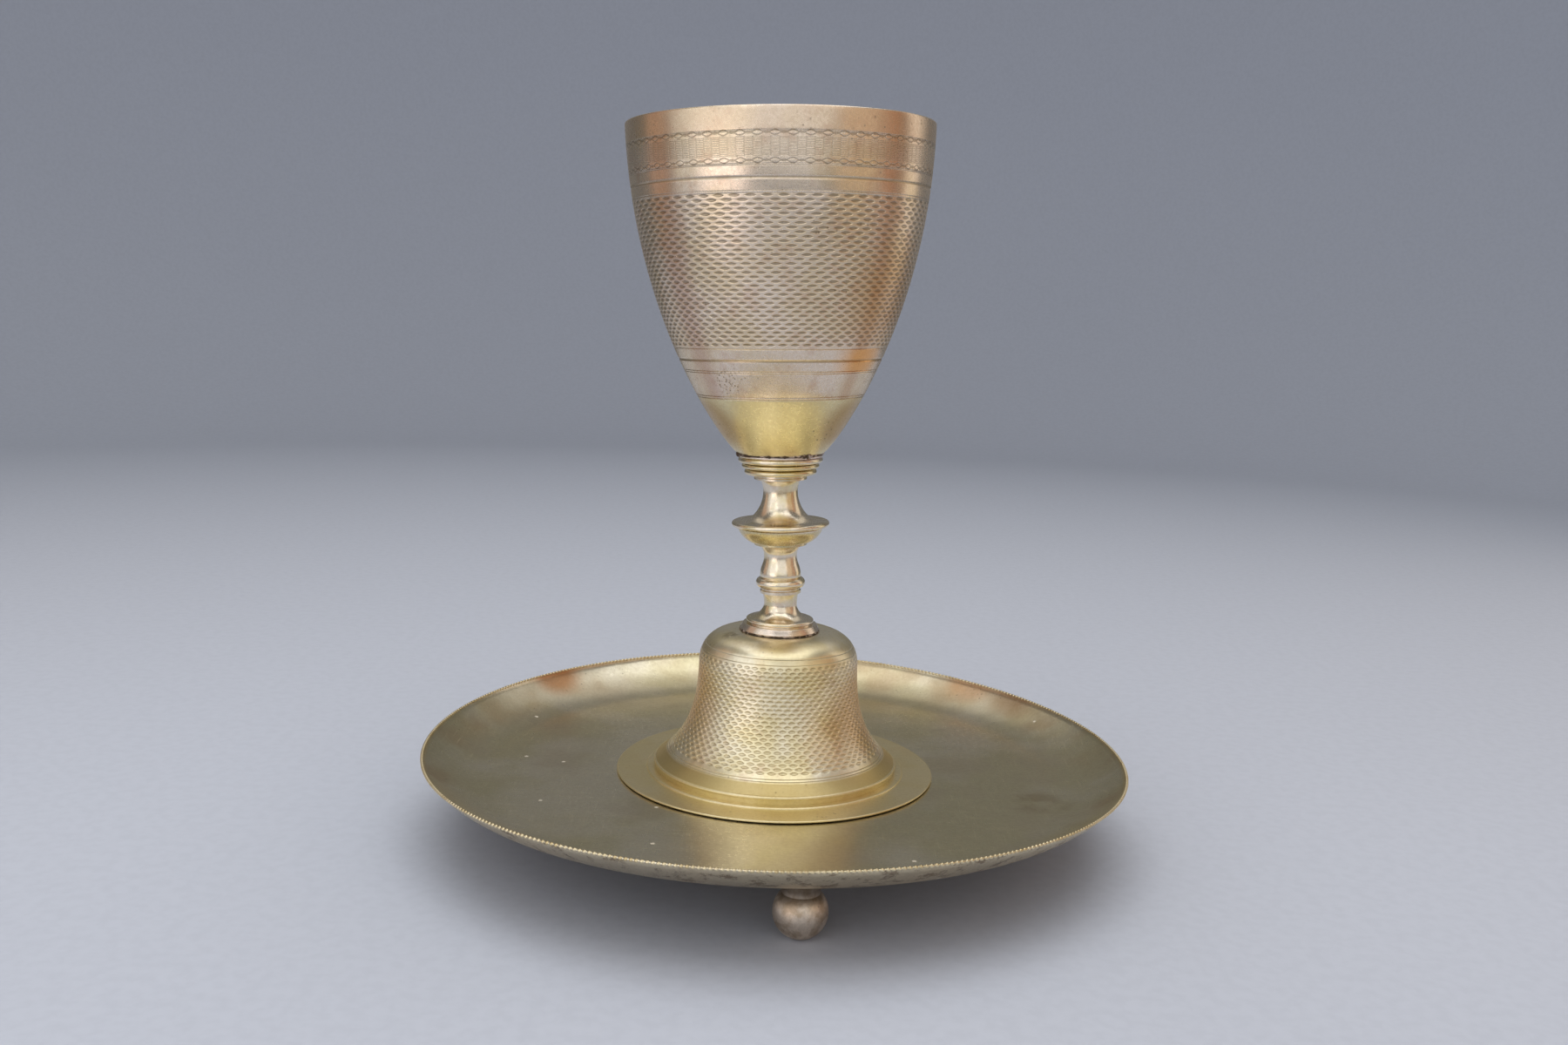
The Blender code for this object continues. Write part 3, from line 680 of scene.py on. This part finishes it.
def ball_foot(name, turn, material):
    """A cast ball with a short flared neck and a small flat spot to stand on."""
    lift = math.sqrt(BALL_RADIUS ** 2 - BALL_FLAT_RADIUS ** 2)
    flat_angle = math.degrees(math.asin(BALL_FLAT_RADIUS / BALL_RADIUS)) - 90
    neck_angle = math.degrees(math.acos(FOOT_NECK_RADIUS / BALL_RADIUS))
    ball = arc(0.0, lift, BALL_RADIUS, flat_angle, neck_angle, 44)
    flare = sweep((FOOT_PAD_RADIUS, FOOT_TOP), ball[-1], NECK_PULL)[::-1]
    low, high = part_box(name)
    center = 0.5 * (low + high)

    def place(points):
        dents = ripple(points, 6 * MM, 0.06 * MM, 5 + turn) * np.clip(points[:, 2] / (3 * MM), 0.0, 1.0)
        out = points * [1, 1, 0] / BALL_RADIUS
        return points + dents[:, None] * out + np.array([center.x, center.y, 0.0])

    return turned(name + "_skin", outline((0.0, 0.0), ball, flare[1:], (0.0, FOOT_TOP)), 72, material,
                  "rubbed_silver", name, place)


def add(tree, kind, inputs=None, output=0, **settings):
    """Adds one shader node with its options and its values or links; returns one of its outputs."""
    node = tree.nodes.new("ShaderNode" + kind)
    for option, value in settings.items():
        setattr(node, option, value)
    for key, value in (inputs or {}).items():
        if isinstance(value, bpy.types.NodeSocket):
            tree.links.new(value, node.inputs[key])
        else:
            node.inputs[key].default_value = value
    return node.outputs[output]


def new_finish(name):
    """An empty metal finish and the object's own coordinates in metres."""
    material = bpy.data.materials.new(name)
    material.use_nodes = True
    tree = material.node_tree
    shader = tree.nodes["Principled BSDF"]
    shader.inputs["Metallic"].default_value = 1.0
    return material, tree, shader, add(tree, "TexCoord", output="Object")


def cloud(tree, where, size, low, high, detail=3.0, roughness=0.55, most=1.0):
    """Soft blotches about size metres across: 0 where a noise is under low, most where it is over."""
    noise = add(tree, "TexNoise",
                {"Vector": where, "Scale": 1 / size, "Detail": detail, "Roughness": roughness})
    return add(tree, "MapRange", {0: noise, 1: low, 2: high, 3: 0.0, 4: most},
               interpolation_type="SMOOTHSTEP")


def patch(tree, where, place, reach, soft, most=1.0):
    """A stain: most on the metal within reach of a place, fading to 0 over soft."""
    away = add(tree, "VectorMath", {0: where, 1: tuple(place)}, 1, operation="DISTANCE")
    return add(tree, "MapRange", {0: away, 1: reach, 2: reach + soft, 3: most, 4: 0.0},
               interpolation_type="SMOOTHSTEP")


def between(tree, value, low, high, edge):
    """1 where a value lies between low and high, with soft edges."""
    rise = add(tree, "MapRange", {0: value, 1: low - edge, 2: low + edge, 3: 0.0, 4: 1.0})
    return add(tree, "MapRange", {0: value, 1: high - edge, 2: high + edge, 3: rise, 4: 0.0})


def lens_cuts(tree, cell, down, rows):
    """The same lens cuts as the mesh has, sharp at their edges: 0 to 1, over a number of rows."""
    row = add(tree, "Math", {0: down, 1: MM / ROW_PITCH}, operation="MULTIPLY")
    nearest = add(tree, "Math", {0: row}, operation="ROUND")
    odd = add(tree, "Math", {0: nearest, 1: 2.0}, operation="FLOORED_MODULO")
    shifted = add(tree, "Math", {0: odd, 1: -0.5, 2: cell}, operation="MULTIPLY_ADD")
    whole = add(tree, "Math", {0: shifted}, operation="ROUND")
    across = add(tree, "Math", {0: shifted, 1: whole}, operation="SUBTRACT")
    square = add(tree, "Math", {0: across, 1: across}, operation="MULTIPLY")
    off = add(tree, "Math", {0: row, 1: nearest}, operation="SUBTRACT")
    rise = add(tree, "Math", {0: off}, operation="ABSOLUTE")
    level = add(tree, "Math", {0: rise, 1: -1 / LENS_HALF_HEIGHT, 2: 1.0}, operation="MULTIPLY_ADD")
    left = add(tree, "Math", {0: square, 1: -1 / LENS_HALF_WIDTH ** 2, 2: level}, operation="MULTIPLY_ADD")
    inside = between(tree, row, -0.5, rows - 0.5, 0.05)
    return add(tree, "MapRange", {0: left, 1: 0.16, 2: 0.56, 3: 0.0, 4: inside},
               interpolation_type="SMOOTHSTEP")


def scallops(tree, cell, down):
    """The two wavy lines above and the two below the short dashes, 0 to 1."""
    angle = add(tree, "Math", {0: cell, 1: 2 * math.pi}, operation="MULTIPLY")
    wave = add(tree, "Math", {0: angle}, operation="COSINE")
    half = SCALLOP_HALF_WIDTH / MM
    cuts = 0.0
    for middle, way in ((bowl_down(GUILLOCHE_HIGH), 1.0), (bowl_down(GUILLOCHE_LOW), -1.0)):
        for offset, sense in ((0.0, 1.0), (-way * SCALLOP_GAP / MM, -1.0)):
            swing = way * sense * SCALLOP_RISE / MM
            away = add(tree, "Math", {0: wave, 1: swing, 2: down}, operation="MULTIPLY_ADD")
            cut = between(tree, away, middle + offset - half, middle + offset + half, 0.07)
            cuts = add(tree, "Math", {0: cut, 1: cuts}, operation="MAXIMUM")
    return cuts


def dashes(tree, cell, down):
    """The stacked short dashes and the upright line between two stacks, 0 to 1."""
    stack = add(tree, "Math", {0: cell, 1: 2.0}, operation="MULTIPLY")
    nearest = add(tree, "Math", {0: stack}, operation="ROUND")
    shift = add(tree, "Math", {0: nearest, 1: 2.0}, operation="FLOORED_MODULO")
    start = add(tree, "Math", {0: shift, 1: math.pi}, operation="MULTIPLY")
    beat = add(tree, "Math", {0: down, 1: 2 * math.pi * MM / DASH_PITCH, 2: start}, operation="MULTIPLY_ADD")
    level = add(tree, "Math", {0: beat}, operation="COSINE")
    dash = add(tree, "MapRange", {0: level, 1: 0.0, 2: 0.6, 3: 0.0, 4: 1.0})
    off = add(tree, "Math", {0: stack, 1: nearest}, operation="SUBTRACT")
    aside = add(tree, "Math", {0: off}, operation="ABSOLUTE")
    upright = add(tree, "MapRange", {0: aside, 1: 0.38, 2: 0.46, 3: 0.0, 4: 0.5})
    cuts = add(tree, "Math", {0: dash, 1: upright}, operation="MAXIMUM")
    body = between(tree, down, bowl_down(GUILLOCHE_HIGH) + 0.75, bowl_down(GUILLOCHE_LOW) - 0.75, 0.1)
    return add(tree, "Math", {0: cuts, 1: body}, operation="MULTIPLY")


def turned_lines(tree, down, places, half):
    """Fine lines cut in the lathe at given distances down, 0 to 1."""
    cuts = 0.0
    for place in places:
        cut = between(tree, down, place - half, place + half, 0.08)
        cuts = add(tree, "Math", {0: cut, 1: cuts}, operation="MAXIMUM")
    return cuts


def pits(tree, where, level=0.52, most=1.0):
    """Pits 1.8 mm apart, in patches where a slow noise passes a level."""
    patches = cloud(tree, where, 11 * MM, level, level + 0.14, 4.0, most=most)
    spots = add(tree, "TexVoronoi", {"Vector": where, "Scale": 1 / (1.8 * MM), "Randomness": 1.0})
    return add(tree, "MapRange", {0: spots, 1: 0.10, 2: 0.24, 3: patches, 4: 0.0})


def scratches(tree, where):
    """Handling scratches that run two ways, 0.3 mm wide: coarser than real hairlines, so that they show."""
    ways = []
    for stretch, turn in (((0.02, 1.0, 0.35), (0.2, 0.5, 0.9)), ((1.0, 0.03, 0.25), (0.7, 0.1, 0.4))):
        streaks = add(tree, "Mapping", {"Vector": where, "Scale": stretch, "Rotation": turn})
        ways.append(cloud(tree, streaks, 0.3 * MM, 0.6, 0.72, 2.0))
    return add(tree, "Math", {0: ways[0], 1: ways[1]}, operation="MAXIMUM")


def lathe_marks(tree, where):
    """Fine rings left by turning and polishing, drawn 0.35 mm apart so that they show."""
    rings = add(tree, "Mapping", {"Vector": where, "Scale": (0.02, 0.02, 1.0)})
    return cloud(tree, rings, 0.35 * MM, 0.35, 0.65, 2.0)


def slow_dents(tree, where):
    """The slow unevenness of metal worked by hand, about 14 mm across."""
    return add(tree, "TexNoise", {"Vector": where, "Scale": 1 / (14 * MM), "Detail": 1.0})


def grime(tree, where):
    """Old polish and dirt in specks of about 0.9 mm."""
    return cloud(tree, where, 0.9 * MM, 0.3, 0.75, 4.0, 0.7)


def handled(tree, where, dents):
    """The marks of making and use on polished silver: scratches, lathe rings, and dents of a depth in mm."""
    return [
        (scratches(tree, where), "", 0, 0.003, 0.05),
        (lathe_marks(tree, where), "", 0, -0.002, 0),
        (slow_dents(tree, where), "", 0, -dents, 0),
    ]


def engraving(tree):
    """Where the metal lies in the engraved rows: cells round, and millimetres down."""
    drawn = add(tree, "UVMap", uv_map="engraving")
    return add(tree, "SeparateXYZ", {0: drawn}, 0), add(tree, "SeparateXYZ", {0: drawn}, 1)


def layered(tree, shader, base, rough, marks):
    """Lays marks over a base colour.

    Each mark is where it lies, its colour, how much it covers, its depth in mm and how much it dulls.
    """
    color, height, dull = linear(base), 0.0, rough
    for place, tone, cover, depth, dulling in marks:
        if cover:
            share = add(tree, "Math", {0: place, 1: cover}, operation="MULTIPLY")
            color = add(tree, "Mix", {0: share, 6: color, 7: linear(tone)}, 2, data_type="RGBA")
        if depth:
            height = add(tree, "Math", {0: place, 1: -depth, 2: height}, operation="MULTIPLY_ADD")
        if dulling:
            dull = add(tree, "Math", {0: place, 1: dulling, 2: dull}, operation="MULTIPLY_ADD")
    bump = add(tree, "Bump", {"Height": height, "Distance": MM, "Strength": 1.0})
    tree.links.new(color, shader.inputs["Base Color"])
    tree.links.new(dull, shader.inputs["Roughness"])
    tree.links.new(bump, shader.inputs["Normal"])


def on_bowl(turn, height, base):
    """The place on the leaning bowl at a turn, in degrees right of the front, and a height above its base."""
    wall = bowl_wall()
    radius = np.interp(height, wall[:, 1], wall[:, 0])
    turn = math.radians(turn)
    return leaned(np.array([[radius * math.sin(turn), -radius * math.cos(turn), base + height]]))[0]


def on_dish(turn, radius, height=0.0):
    """The same on the dish, at a radius and a height above its floor."""
    turn = math.radians(turn)
    return (radius * math.sin(turn), -radius * math.cos(turn), DISH_FLOOR + height)


def worn_silver_gilt_bowl(base):
    """Silver-gilt, raised, engine-turned and polished, its gilding rubbed thin by use.

    It gives pale cream where the silver shows through, yellow where the gold is whole under the bands,
    and brown dirt in every cut. The rose and orange streaks down its sides, the orange patch on its plain
    bands and the warm patch high on its right are painted reflections, and its bottom is painted darker at
    the sides as shade.
    """
    material, tree, shader, where = new_finish("worn_silver_gilt_bowl")
    cell, down = engraving(tree)
    low_row = bowl_down(LOW_ROW_HEIGHT)
    spotted = patch(tree, where, on_bowl(-33, 22.8 * MM, base), 3 * MM, 2.5 * MM)
    spots = add(tree, "TexVoronoi", {"Vector": where, "Scale": 1 / (0.9 * MM), "Randomness": 1.0})
    cluster = add(tree, "MapRange", {0: spots, 1: 0.2, 2: 0.42, 3: spotted, 4: 0.0})
    # The orange patch on the plain bands at the right is a painted reflection
    plain_bands = between(tree, down, bowl_down(32.4 * MM), bowl_down(25.7 * MM), 0.15)
    painted_orange_reflection = patch(tree, where, on_bowl(50, 29 * MM, base), 2 * MM, 11 * MM, plain_bands)
    # Rose and orange streaks down the two sides: painted reflections of the room
    painted_left_reflection = between(tree, cell, CELLS * 305 / 360, CELLS * 318 / 360, CELLS * 4 / 360)
    painted_right_reflection = between(tree, cell, CELLS * 40 / 360, CELLS * 50 / 360, CELLS * 3 / 360)
    layered(tree, shader, "F0E0CE", 0.24, [
        (cloud(tree, where, 24 * MM, 0.42, 0.62), "E8D6BA", 1.0, 0, 0),
        (cloud(tree, where, 7 * MM, 0.5, 0.7, 5.0, 0.65), "C79F86", 0.4, 0, 0.02),
        (painted_left_reflection, "B07E6C", 0.4, 0, 0),
        (painted_right_reflection, "BC8A64", 0.4, 0, 0),
        # A warm patch high on the right side: painted reflection
        (patch(tree, where, on_bowl(54, 46 * MM, base), 6 * MM, 17 * MM), "CC9850", 0.48, 0, 0),
        (painted_orange_reflection, "F4B060", 0.8, 0, -0.04),
        (between(tree, down, bowl_down(17.6 * MM), bowl_down(0.0), 0.5), "EEE1B4", 1.0, 0, 0.02),
        # Darker sides low on the gilt bottom: painted shade
        (patch(tree, where, on_bowl(-66, 10 * MM, base), 5 * MM, 9 * MM), "A8824A", 0.75, 0, 0),
        (patch(tree, where, on_bowl(64, 10 * MM, base), 5 * MM, 9 * MM), "A8824A", 0.75, 0, 0),
        (between(tree, down, bowl_down(99 * MM), bowl_down(91.8 * MM), 0.2), "DCC4AC", 0.45, 0, 0),
        (grime(tree, where), "B3946F", 0.2, 0.003, 0.08),
        (pits(tree, where), "4A3A28", 0.5, 0.03, 0.2),
        (cluster, "5E4A36", 0.6, 0.04, 0.2),
        *handled(tree, where, 0.25),
        (between(tree, down, -0.6, low_row + 0.6, 0.3), "", 0, 0, 0.03),
        (lens_cuts(tree, cell, down, rows_between(0.0, low_row)), "6E5F45", 0.54, 0.15, 0),
        (scallops(tree, cell, down), "6E5F45", 0.5, 0.06, 0),
        (dashes(tree, cell, down), "6E5F45", 0.42, 0.04, 0.02),
        (turned_lines(tree, down, [bowl_down(h) for h in BOWL_LINES], 0.1), "6E5F45", 0.45, 0.04, 0),
        (turned_lines(tree, down, [bowl_down(h) for h in BOWL_GROOVES], 0.36), "8E7A52", 0.5, 0, 0.05),
    ])
    return material


def worn_silver_gilt_bell():
    """The same silver-gilt on the bell foot, yellower, since less hand wear reaches it.

    Its brown sides are painted reflections of the room.
    """
    material, tree, shader, where = new_finish("worn_silver_gilt_bell")
    cell, down = engraving(tree)
    low_row = bell_down(BELL_LOW_ROW)
    lines = [bell_down(h) for h in BELL_LINES + BELL_LOW_LINES]
    smear = patch(tree, where, (-15 * MM, -8 * MM, BELL_TOP - MM), MM, 3 * MM)
    # The brown patches on the bell's two sides: painted reflections
    bell_left_reflection = patch(tree, where, (-27 * MM, -4 * MM, 46 * MM), 7 * MM, 13 * MM)
    bell_right_reflection = patch(tree, where, (27 * MM, -8 * MM, 42 * MM), 7 * MM, 13 * MM)
    layered(tree, shader, "F5EDD6", 0.3, [
        (cloud(tree, where, 18 * MM, 0.42, 0.62), "EBDFB8", 1.0, 0, 0),
        (cloud(tree, where, 8 * MM, 0.52, 0.7, 5.0, 0.65), "C2A083", 0.35, 0, 0.02),
        (between(tree, down, lines[-1] + 0.4, low_row + 40.0, 0.5), "E2D2A0", 0.7, 0, 0.04),
        (between(tree, down, lines[-1] + 0.4, bell_down(RIDGE_TOP) + 1.0, 0.4), "B8A266", 0.7, 0, 0.06),
        (bell_left_reflection, "C99A5C", 0.6, 0, 0),
        (bell_right_reflection, "C2925A", 0.6, 0, 0),
        (cloud(tree, where, 2 * MM, 0.35, 0.55, most=smear), "5A4A36", 0.6, 0, 0.1),
        (grime(tree, where), "B39A68", 0.2, 0.003, 0.08),
        (pits(tree, where), "4A3A28", 0.4, 0.03, 0.2),
        *handled(tree, where, 0.2),
        (between(tree, down, -0.6, low_row + 0.6, 0.3), "", 0, 0, 0.03),
        (lens_cuts(tree, cell, down, rows_between(0.0, low_row)), "8A7648", 0.25, 0.17, 0),
        (turned_lines(tree, down, lines, 0.1), "6E5F45", 0.45, 0.05, 0),
    ])
    return material


def tarnished_silver():
    """Cast silver, turned and once gilt: pale and smooth on the high members, olive-gold under the knop."""
    material, tree, shader, where = new_finish("tarnished_silver")
    height = add(tree, "SeparateXYZ", {0: where}, 2)
    layered(tree, shader, "EFE3CE", 0.22, [
        (cloud(tree, where, 9 * MM, 0.45, 0.62), "E6D8B2", 1.0, 0, 0),
        (cloud(tree, where, 4 * MM, 0.54, 0.72, 3.0), "CBA78E", 0.3, 0, 0),
        (between(tree, height, CUP_BASE - MM, CUP_BASE + CUP_HEIGHT, 0.3 * MM), "CDBB7E", 0.6, 0, 0.03),
        (between(tree, height, STEM_TOP - 6.6 * MM, STEM_TOP - 3 * MM, 0.3 * MM), "D8C68E", 0.5, 0, 0),
        (between(tree, height, STEM_TOP - 1.3 * MM, STEM_TOP + MM, 0.2 * MM), "DCCDC8", 0.8, 0, 0.06),
        (between(tree, height, STEM_BASE - MM, STEM_BASE + FOOT_RING_HEIGHT, 0.3 * MM), "E6D6CC", 0.6, 0, 0),
        (cloud(tree, where, 0.9 * MM, 0.4, 0.8, 4.0, 0.7), "A58A5E", 0.12, 0.004, 0.06),
        (pits(tree, where, 0.6), "4A3A28", 0.5, 0.02, 0.15),
        *handled(tree, where, 0.08),
    ])
    return material


def dark_bronze():
    """Raised gilt bronze, gone olive: even satin on the floor, brown stains and speckles on the wall."""
    material, tree, shader, where = new_finish("dark_bronze")
    height = add(tree, "SeparateXYZ", {0: where}, 2)
    facing = add(tree, "SeparateXYZ", {0: add(tree, "NewGeometry", output="Normal")}, 2)
    wall_foot = DISH_FLOOR + 0.5 * MM
    wall = add(tree, "MapRange", {0: height, 1: wall_foot, 2: wall_foot + 2.5 * MM, 3: 0.0, 4: 1.0})
    outer = add(tree, "MapRange", {0: facing, 1: 0.1, 2: -0.3, 3: 0.0, 4: 1.0})
    under = add(tree, "MapRange", {0: facing, 1: -0.85, 2: -0.98, 3: 0.0, 4: 1.0})
    speckle = cloud(tree, where, 5 * MM, 0.5, 0.62, 6.0, 0.75, outer)
    stain = patch(tree, where, on_dish(74, 84 * MM), 4 * MM, 10 * MM)
    flecks = add(tree, "TexVoronoi", {"Vector": where, "Scale": 1 / (16 * MM), "Randomness": 1.0})
    marks = [
        (cloud(tree, where, 45 * MM, 0.4, 0.62), "D8CFAC", 1.0, 0, 0),
        (cloud(tree, where, 26 * MM, 0.5, 0.7, 2.0), "CBBFA8", 0.5, 0, 0.02),
        (cloud(tree, where, 26 * MM, 0.42, 0.7, most=wall), "B4966A", 0.45, 0, 0.04),
        (outer, "D0C2A8", 0.8, 0, 0.05),
        (speckle, "6A5240", 0.7, 0.01, 0.1),
        (under, "8C7458", 0.7, 0, 0.08),
        (cloud(tree, where, 7 * MM, 0.35, 0.65, 2.0, most=stain), "8A6E44", 0.4, 0, 0.02),
    ]
    for turn, tone, cover in ((-131, "B8763C", 0.75), (138, "C08A5C", 0.6), (128, "A67C58", 0.55)):
        rim_stain = patch(tree, where, on_dish(turn, DISH_RADIUS, DISH_DEPTH - MM), 5 * MM, 9 * MM, wall)
        marks.append((rim_stain, tone, cover, 0, 0.03))
    marks += [
        (cloud(tree, where, 1.2 * MM, 0.3, 0.75, 4.0, 0.7), "8E7A55", 0.22, 0.004, 0.05),
        (pits(tree, where, most=wall), "4A3A28", 0.5, 0.03, 0.2),
        (add(tree, "MapRange", {0: flecks, 1: 0.03, 2: 0.05, 3: 1.0, 4: 0.0}), "F8F2E4", 0.9, 0, 0.3),
        (scratches(tree, where), "F4ECD2", 0.16, 0.008, 0.08),
        (slow_dents(tree, where), "", 0, -0.2, 0),
    ]
    layered(tree, shader, "E6DEC8", 0.27, marks)
    return material


def bright_edge_bronze():
    """The same bronze rubbed bright on the milled beads of the edge."""
    material, tree, shader, where = new_finish("bright_edge_bronze")
    layered(tree, shader, "E6D8B4", 0.3, [
        (cloud(tree, where, 9 * MM, 0.5, 0.66), "CDB98C", 0.8, 0, 0.03),
        (grime(tree, where), "8E7A55", 0.2, 0.004, 0.05),
    ])
    return material


def rubbed_silver():
    """Cast silver balls, never polished: pinkish grey, mottled brown, and dark at the neck with dirt and
    painted shade.
    """
    material, tree, shader, where = new_finish("rubbed_silver")
    height = add(tree, "SeparateXYZ", {0: where}, 2)
    # Darker at the neck under the dish: dirt and painted shade
    neck = add(tree, "MapRange", {0: height, 1: 1.45 * BALL_RADIUS, 2: 1.9 * BALL_RADIUS, 3: 0.0, 4: 1.0})
    layered(tree, shader, "E4D5C3", 0.38, [
        (cloud(tree, where, 4 * MM, 0.4, 0.62, 4.0), "BBA68E", 0.9, 0, 0.03),
        (neck, "4E4234", 0.8, 0, 0.1),
        (grime(tree, where), "5A4838", 0.2, 0.006, 0.1),
        (pits(tree, where), "4A3A28", 0.4, 0.02, 0.15),
        (scratches(tree, where), "", 0, 0.003, 0.05),
        (slow_dents(tree, where), "", 0, -0.1, 0),
    ])
    return material


def old_solder():
    """Grey soft solder with dark brown flux in its hollows, left rough at the joints."""
    material, tree, shader, where = new_finish("old_solder")
    layered(tree, shader, "BDAEA4", 0.42, [
        (cloud(tree, where, 1.4 * MM, 0.4, 0.52, 3.0), "4A3A2A", 0.9, 0.02, 0.1),
        (pits(tree, where, 0.4), "2E241A", 0.8, 0.04, 0.2),
    ])
    return material


def matt_paper():
    """Pale grey studio paper, matt, with a faint mottle so that it isn't one flat tone."""
    material = bpy.data.materials.new("matt_paper")
    material.use_nodes = True
    tree = material.node_tree
    shader = tree.nodes["Principled BSDF"]
    where = add(tree, "TexCoord", output="Object")
    mottle = cloud(tree, where, 4 * MM, 0.35, 0.7, 4.0)
    tone = add(tree, "Mix", {0: mottle, 6: linear("B9BEC9"), 7: linear("B5BAC5")}, 2, data_type="RGBA")
    tree.links.new(tone, shader.inputs["Base Color"])
    shader.inputs["Roughness"].default_value = 0.9
    return material


def studio_paper():
    """A round floor that turns up into a wall behind whatever side is seen; only the floor is mirrored."""
    material = matt_paper()
    sides = 96
    turn = 2 * math.pi * np.arange(sides) / sides
    here = np.arange(sides)
    there = (here + 1) % sides
    curve = arc(WALL_RADIUS - WALL_CURVE, WALL_CURVE, WALL_CURVE, -90, 0)
    wall = outline([(FLOOR_RADIUS, 0.0)], curve, [(WALL_RADIUS, WALL_HEIGHT)])
    for name, path in (("floor_paper", np.array([(0.0, 0.0), (FLOOR_RADIUS, 0.0)])), ("wall_paper", wall)):
        level = path[:, 1:] + 0 * turn
        rings = np.stack([path[:, :1] * np.cos(turn), path[:, :1] * np.sin(turn), level], axis=2)
        faces = []
        for k in sides * np.arange(len(path) - 1):
            faces += np.stack([k + here, k + there, k + sides + there, k + sides + here], axis=1).tolist()
        if path[0, 0] == 0.0:
            faces = [(sides + here).tolist()]
        mesh = bpy.data.meshes.new(name)
        mesh.from_pydata(rings.reshape(-1, 3).tolist(), [], faces)
        mesh.shade_smooth()
        paper = bpy.data.objects.new(name, mesh)
        paper.data.materials.append(material)
        bpy.context.scene.collection.objects.link(paper)
        paper.visible_glossy = name == "floor_paper"


def softbox(name, turn, rise, distance, width, height, brightness, color="FFFFFF", mirrored=True):
    """A rectangular light aimed at the cup: turn is degrees right of the front, rise degrees up."""
    light = bpy.data.lights.new(name, "AREA")
    light.shape = "RECTANGLE"
    light.size = width
    light.size_y = height
    light.energy = brightness * math.pi * width * height
    light.color = linear(color)[:3]
    lamp = bpy.data.objects.new(name, light)
    turn = math.radians(turn)
    rise = math.radians(rise)
    way = Vector((math.sin(turn) * math.cos(rise), -math.cos(turn) * math.cos(rise), math.sin(rise)))
    lamp.location = LIGHT_AIM + distance * way
    lamp.rotation_euler = (-way).to_track_quat("-Z", "Y").to_euler()
    lamp.visible_camera = False
    lamp.visible_glossy = mirrored
    bpy.context.scene.collection.objects.link(lamp)


def studio_light():
    """A window-like key from the front left, dimmer boxes all round, one overhead, one for the floor."""
    softbox("left_fill", -100, 18, 0.9, 0.36, 0.85, 0.36, "FFCFA8")
    softbox("left_light", -74, 18, 0.92, 0.34, 0.85, 0.6)
    softbox("key_light", -44, 20, 0.9, 0.68, 0.9, 0.92)
    softbox("low_light", -42, -3.4, 0.76, 0.46, 0.14, 1.1, "FFE6DA")
    softbox("front_light", 6, 22, 0.95, 1.15, 0.85, 0.78)
    softbox("side_light", 57, 18, 0.93, 0.6, 0.85, 0.5, "FFDDB4")
    softbox("warm_fill", 86, 16, 0.9, 0.28, 0.85, 0.34, "FFB070")
    softbox("right_light", 113, 15, 0.9, 0.34, 0.85, 0.75, "FFEEDA")
    softbox("overhead_light", 0, 84, 0.95, 1.15, 1.1, 1.45)
    softbox("back_light", 180, 20, 1.05, 1.5, 0.6, 0.03)
    softbox("high_back_light", 180, 52, 1.0, 1.5, 0.45, 0.5, "FFF6E8")
    softbox("floor_light", 0, 88, 1.2, 2.0, 2.0, 0.6, mirrored=False)
    world = bpy.data.worlds.new("dim_studio")
    world.use_nodes = True
    world.node_tree.nodes["Background"].inputs["Color"].default_value = linear("6A6A69")
    bpy.context.scene.world = world


def photo_camera():
    """The camera at the photograph's angle: a little above the bowl, tipped down and slightly rolled."""
    camera = bpy.data.objects.new("photo_camera", bpy.data.cameras.new("photo_camera"))
    camera.data.lens = CAMERA_LENS
    camera.data.sensor_width = 36.0
    camera.data.clip_start = 0.01
    place = Matrix.Translation((CAMERA_ASIDE, -CAMERA_BACK, DISH_RIM + CAMERA_OVER_RIM))
    tip = Matrix.Rotation(0.5 * math.pi - CAMERA_DIP, 4, "X")
    camera.matrix_world = place @ tip @ Matrix.Rotation(CAMERA_ROLL, 4, "Z")
    bpy.context.scene.collection.objects.link(camera)
    bpy.context.scene.camera = camera


def dress():
    """Makes every piece and finish, then the stage."""
    silver = tarnished_silver()
    solder = old_solder()
    ball_metal = rubbed_silver()
    for number, name in enumerate(("front_ball_foot", "right_ball_foot", "left_ball_foot")):
        ball_foot(name, number, ball_metal)
    dish_skin(dark_bronze())
    rim_beading(bright_edge_bronze())
    bell_skin(worn_silver_gilt_bell())
    stem_top = stem_skin(silver)
    bowl_skin(stem_top + SEAT_GAP, worn_silver_gilt_bowl(stem_top + SEAT_GAP))
    solder_seam("bowl_solder", BOWL_BASE_RADIUS - 0.2 * MM, stem_top + SEAT_GAP, 1.1 * MM, 4, solder)
    solder_seam("foot_solder", FOOT_RING_RADIUS, STEM_BASE, 0.5 * MM, 9, solder)
    studio_paper()
    studio_light()
    photo_camera()
    bpy.context.scene.view_settings.view_transform = "Standard"


dress()
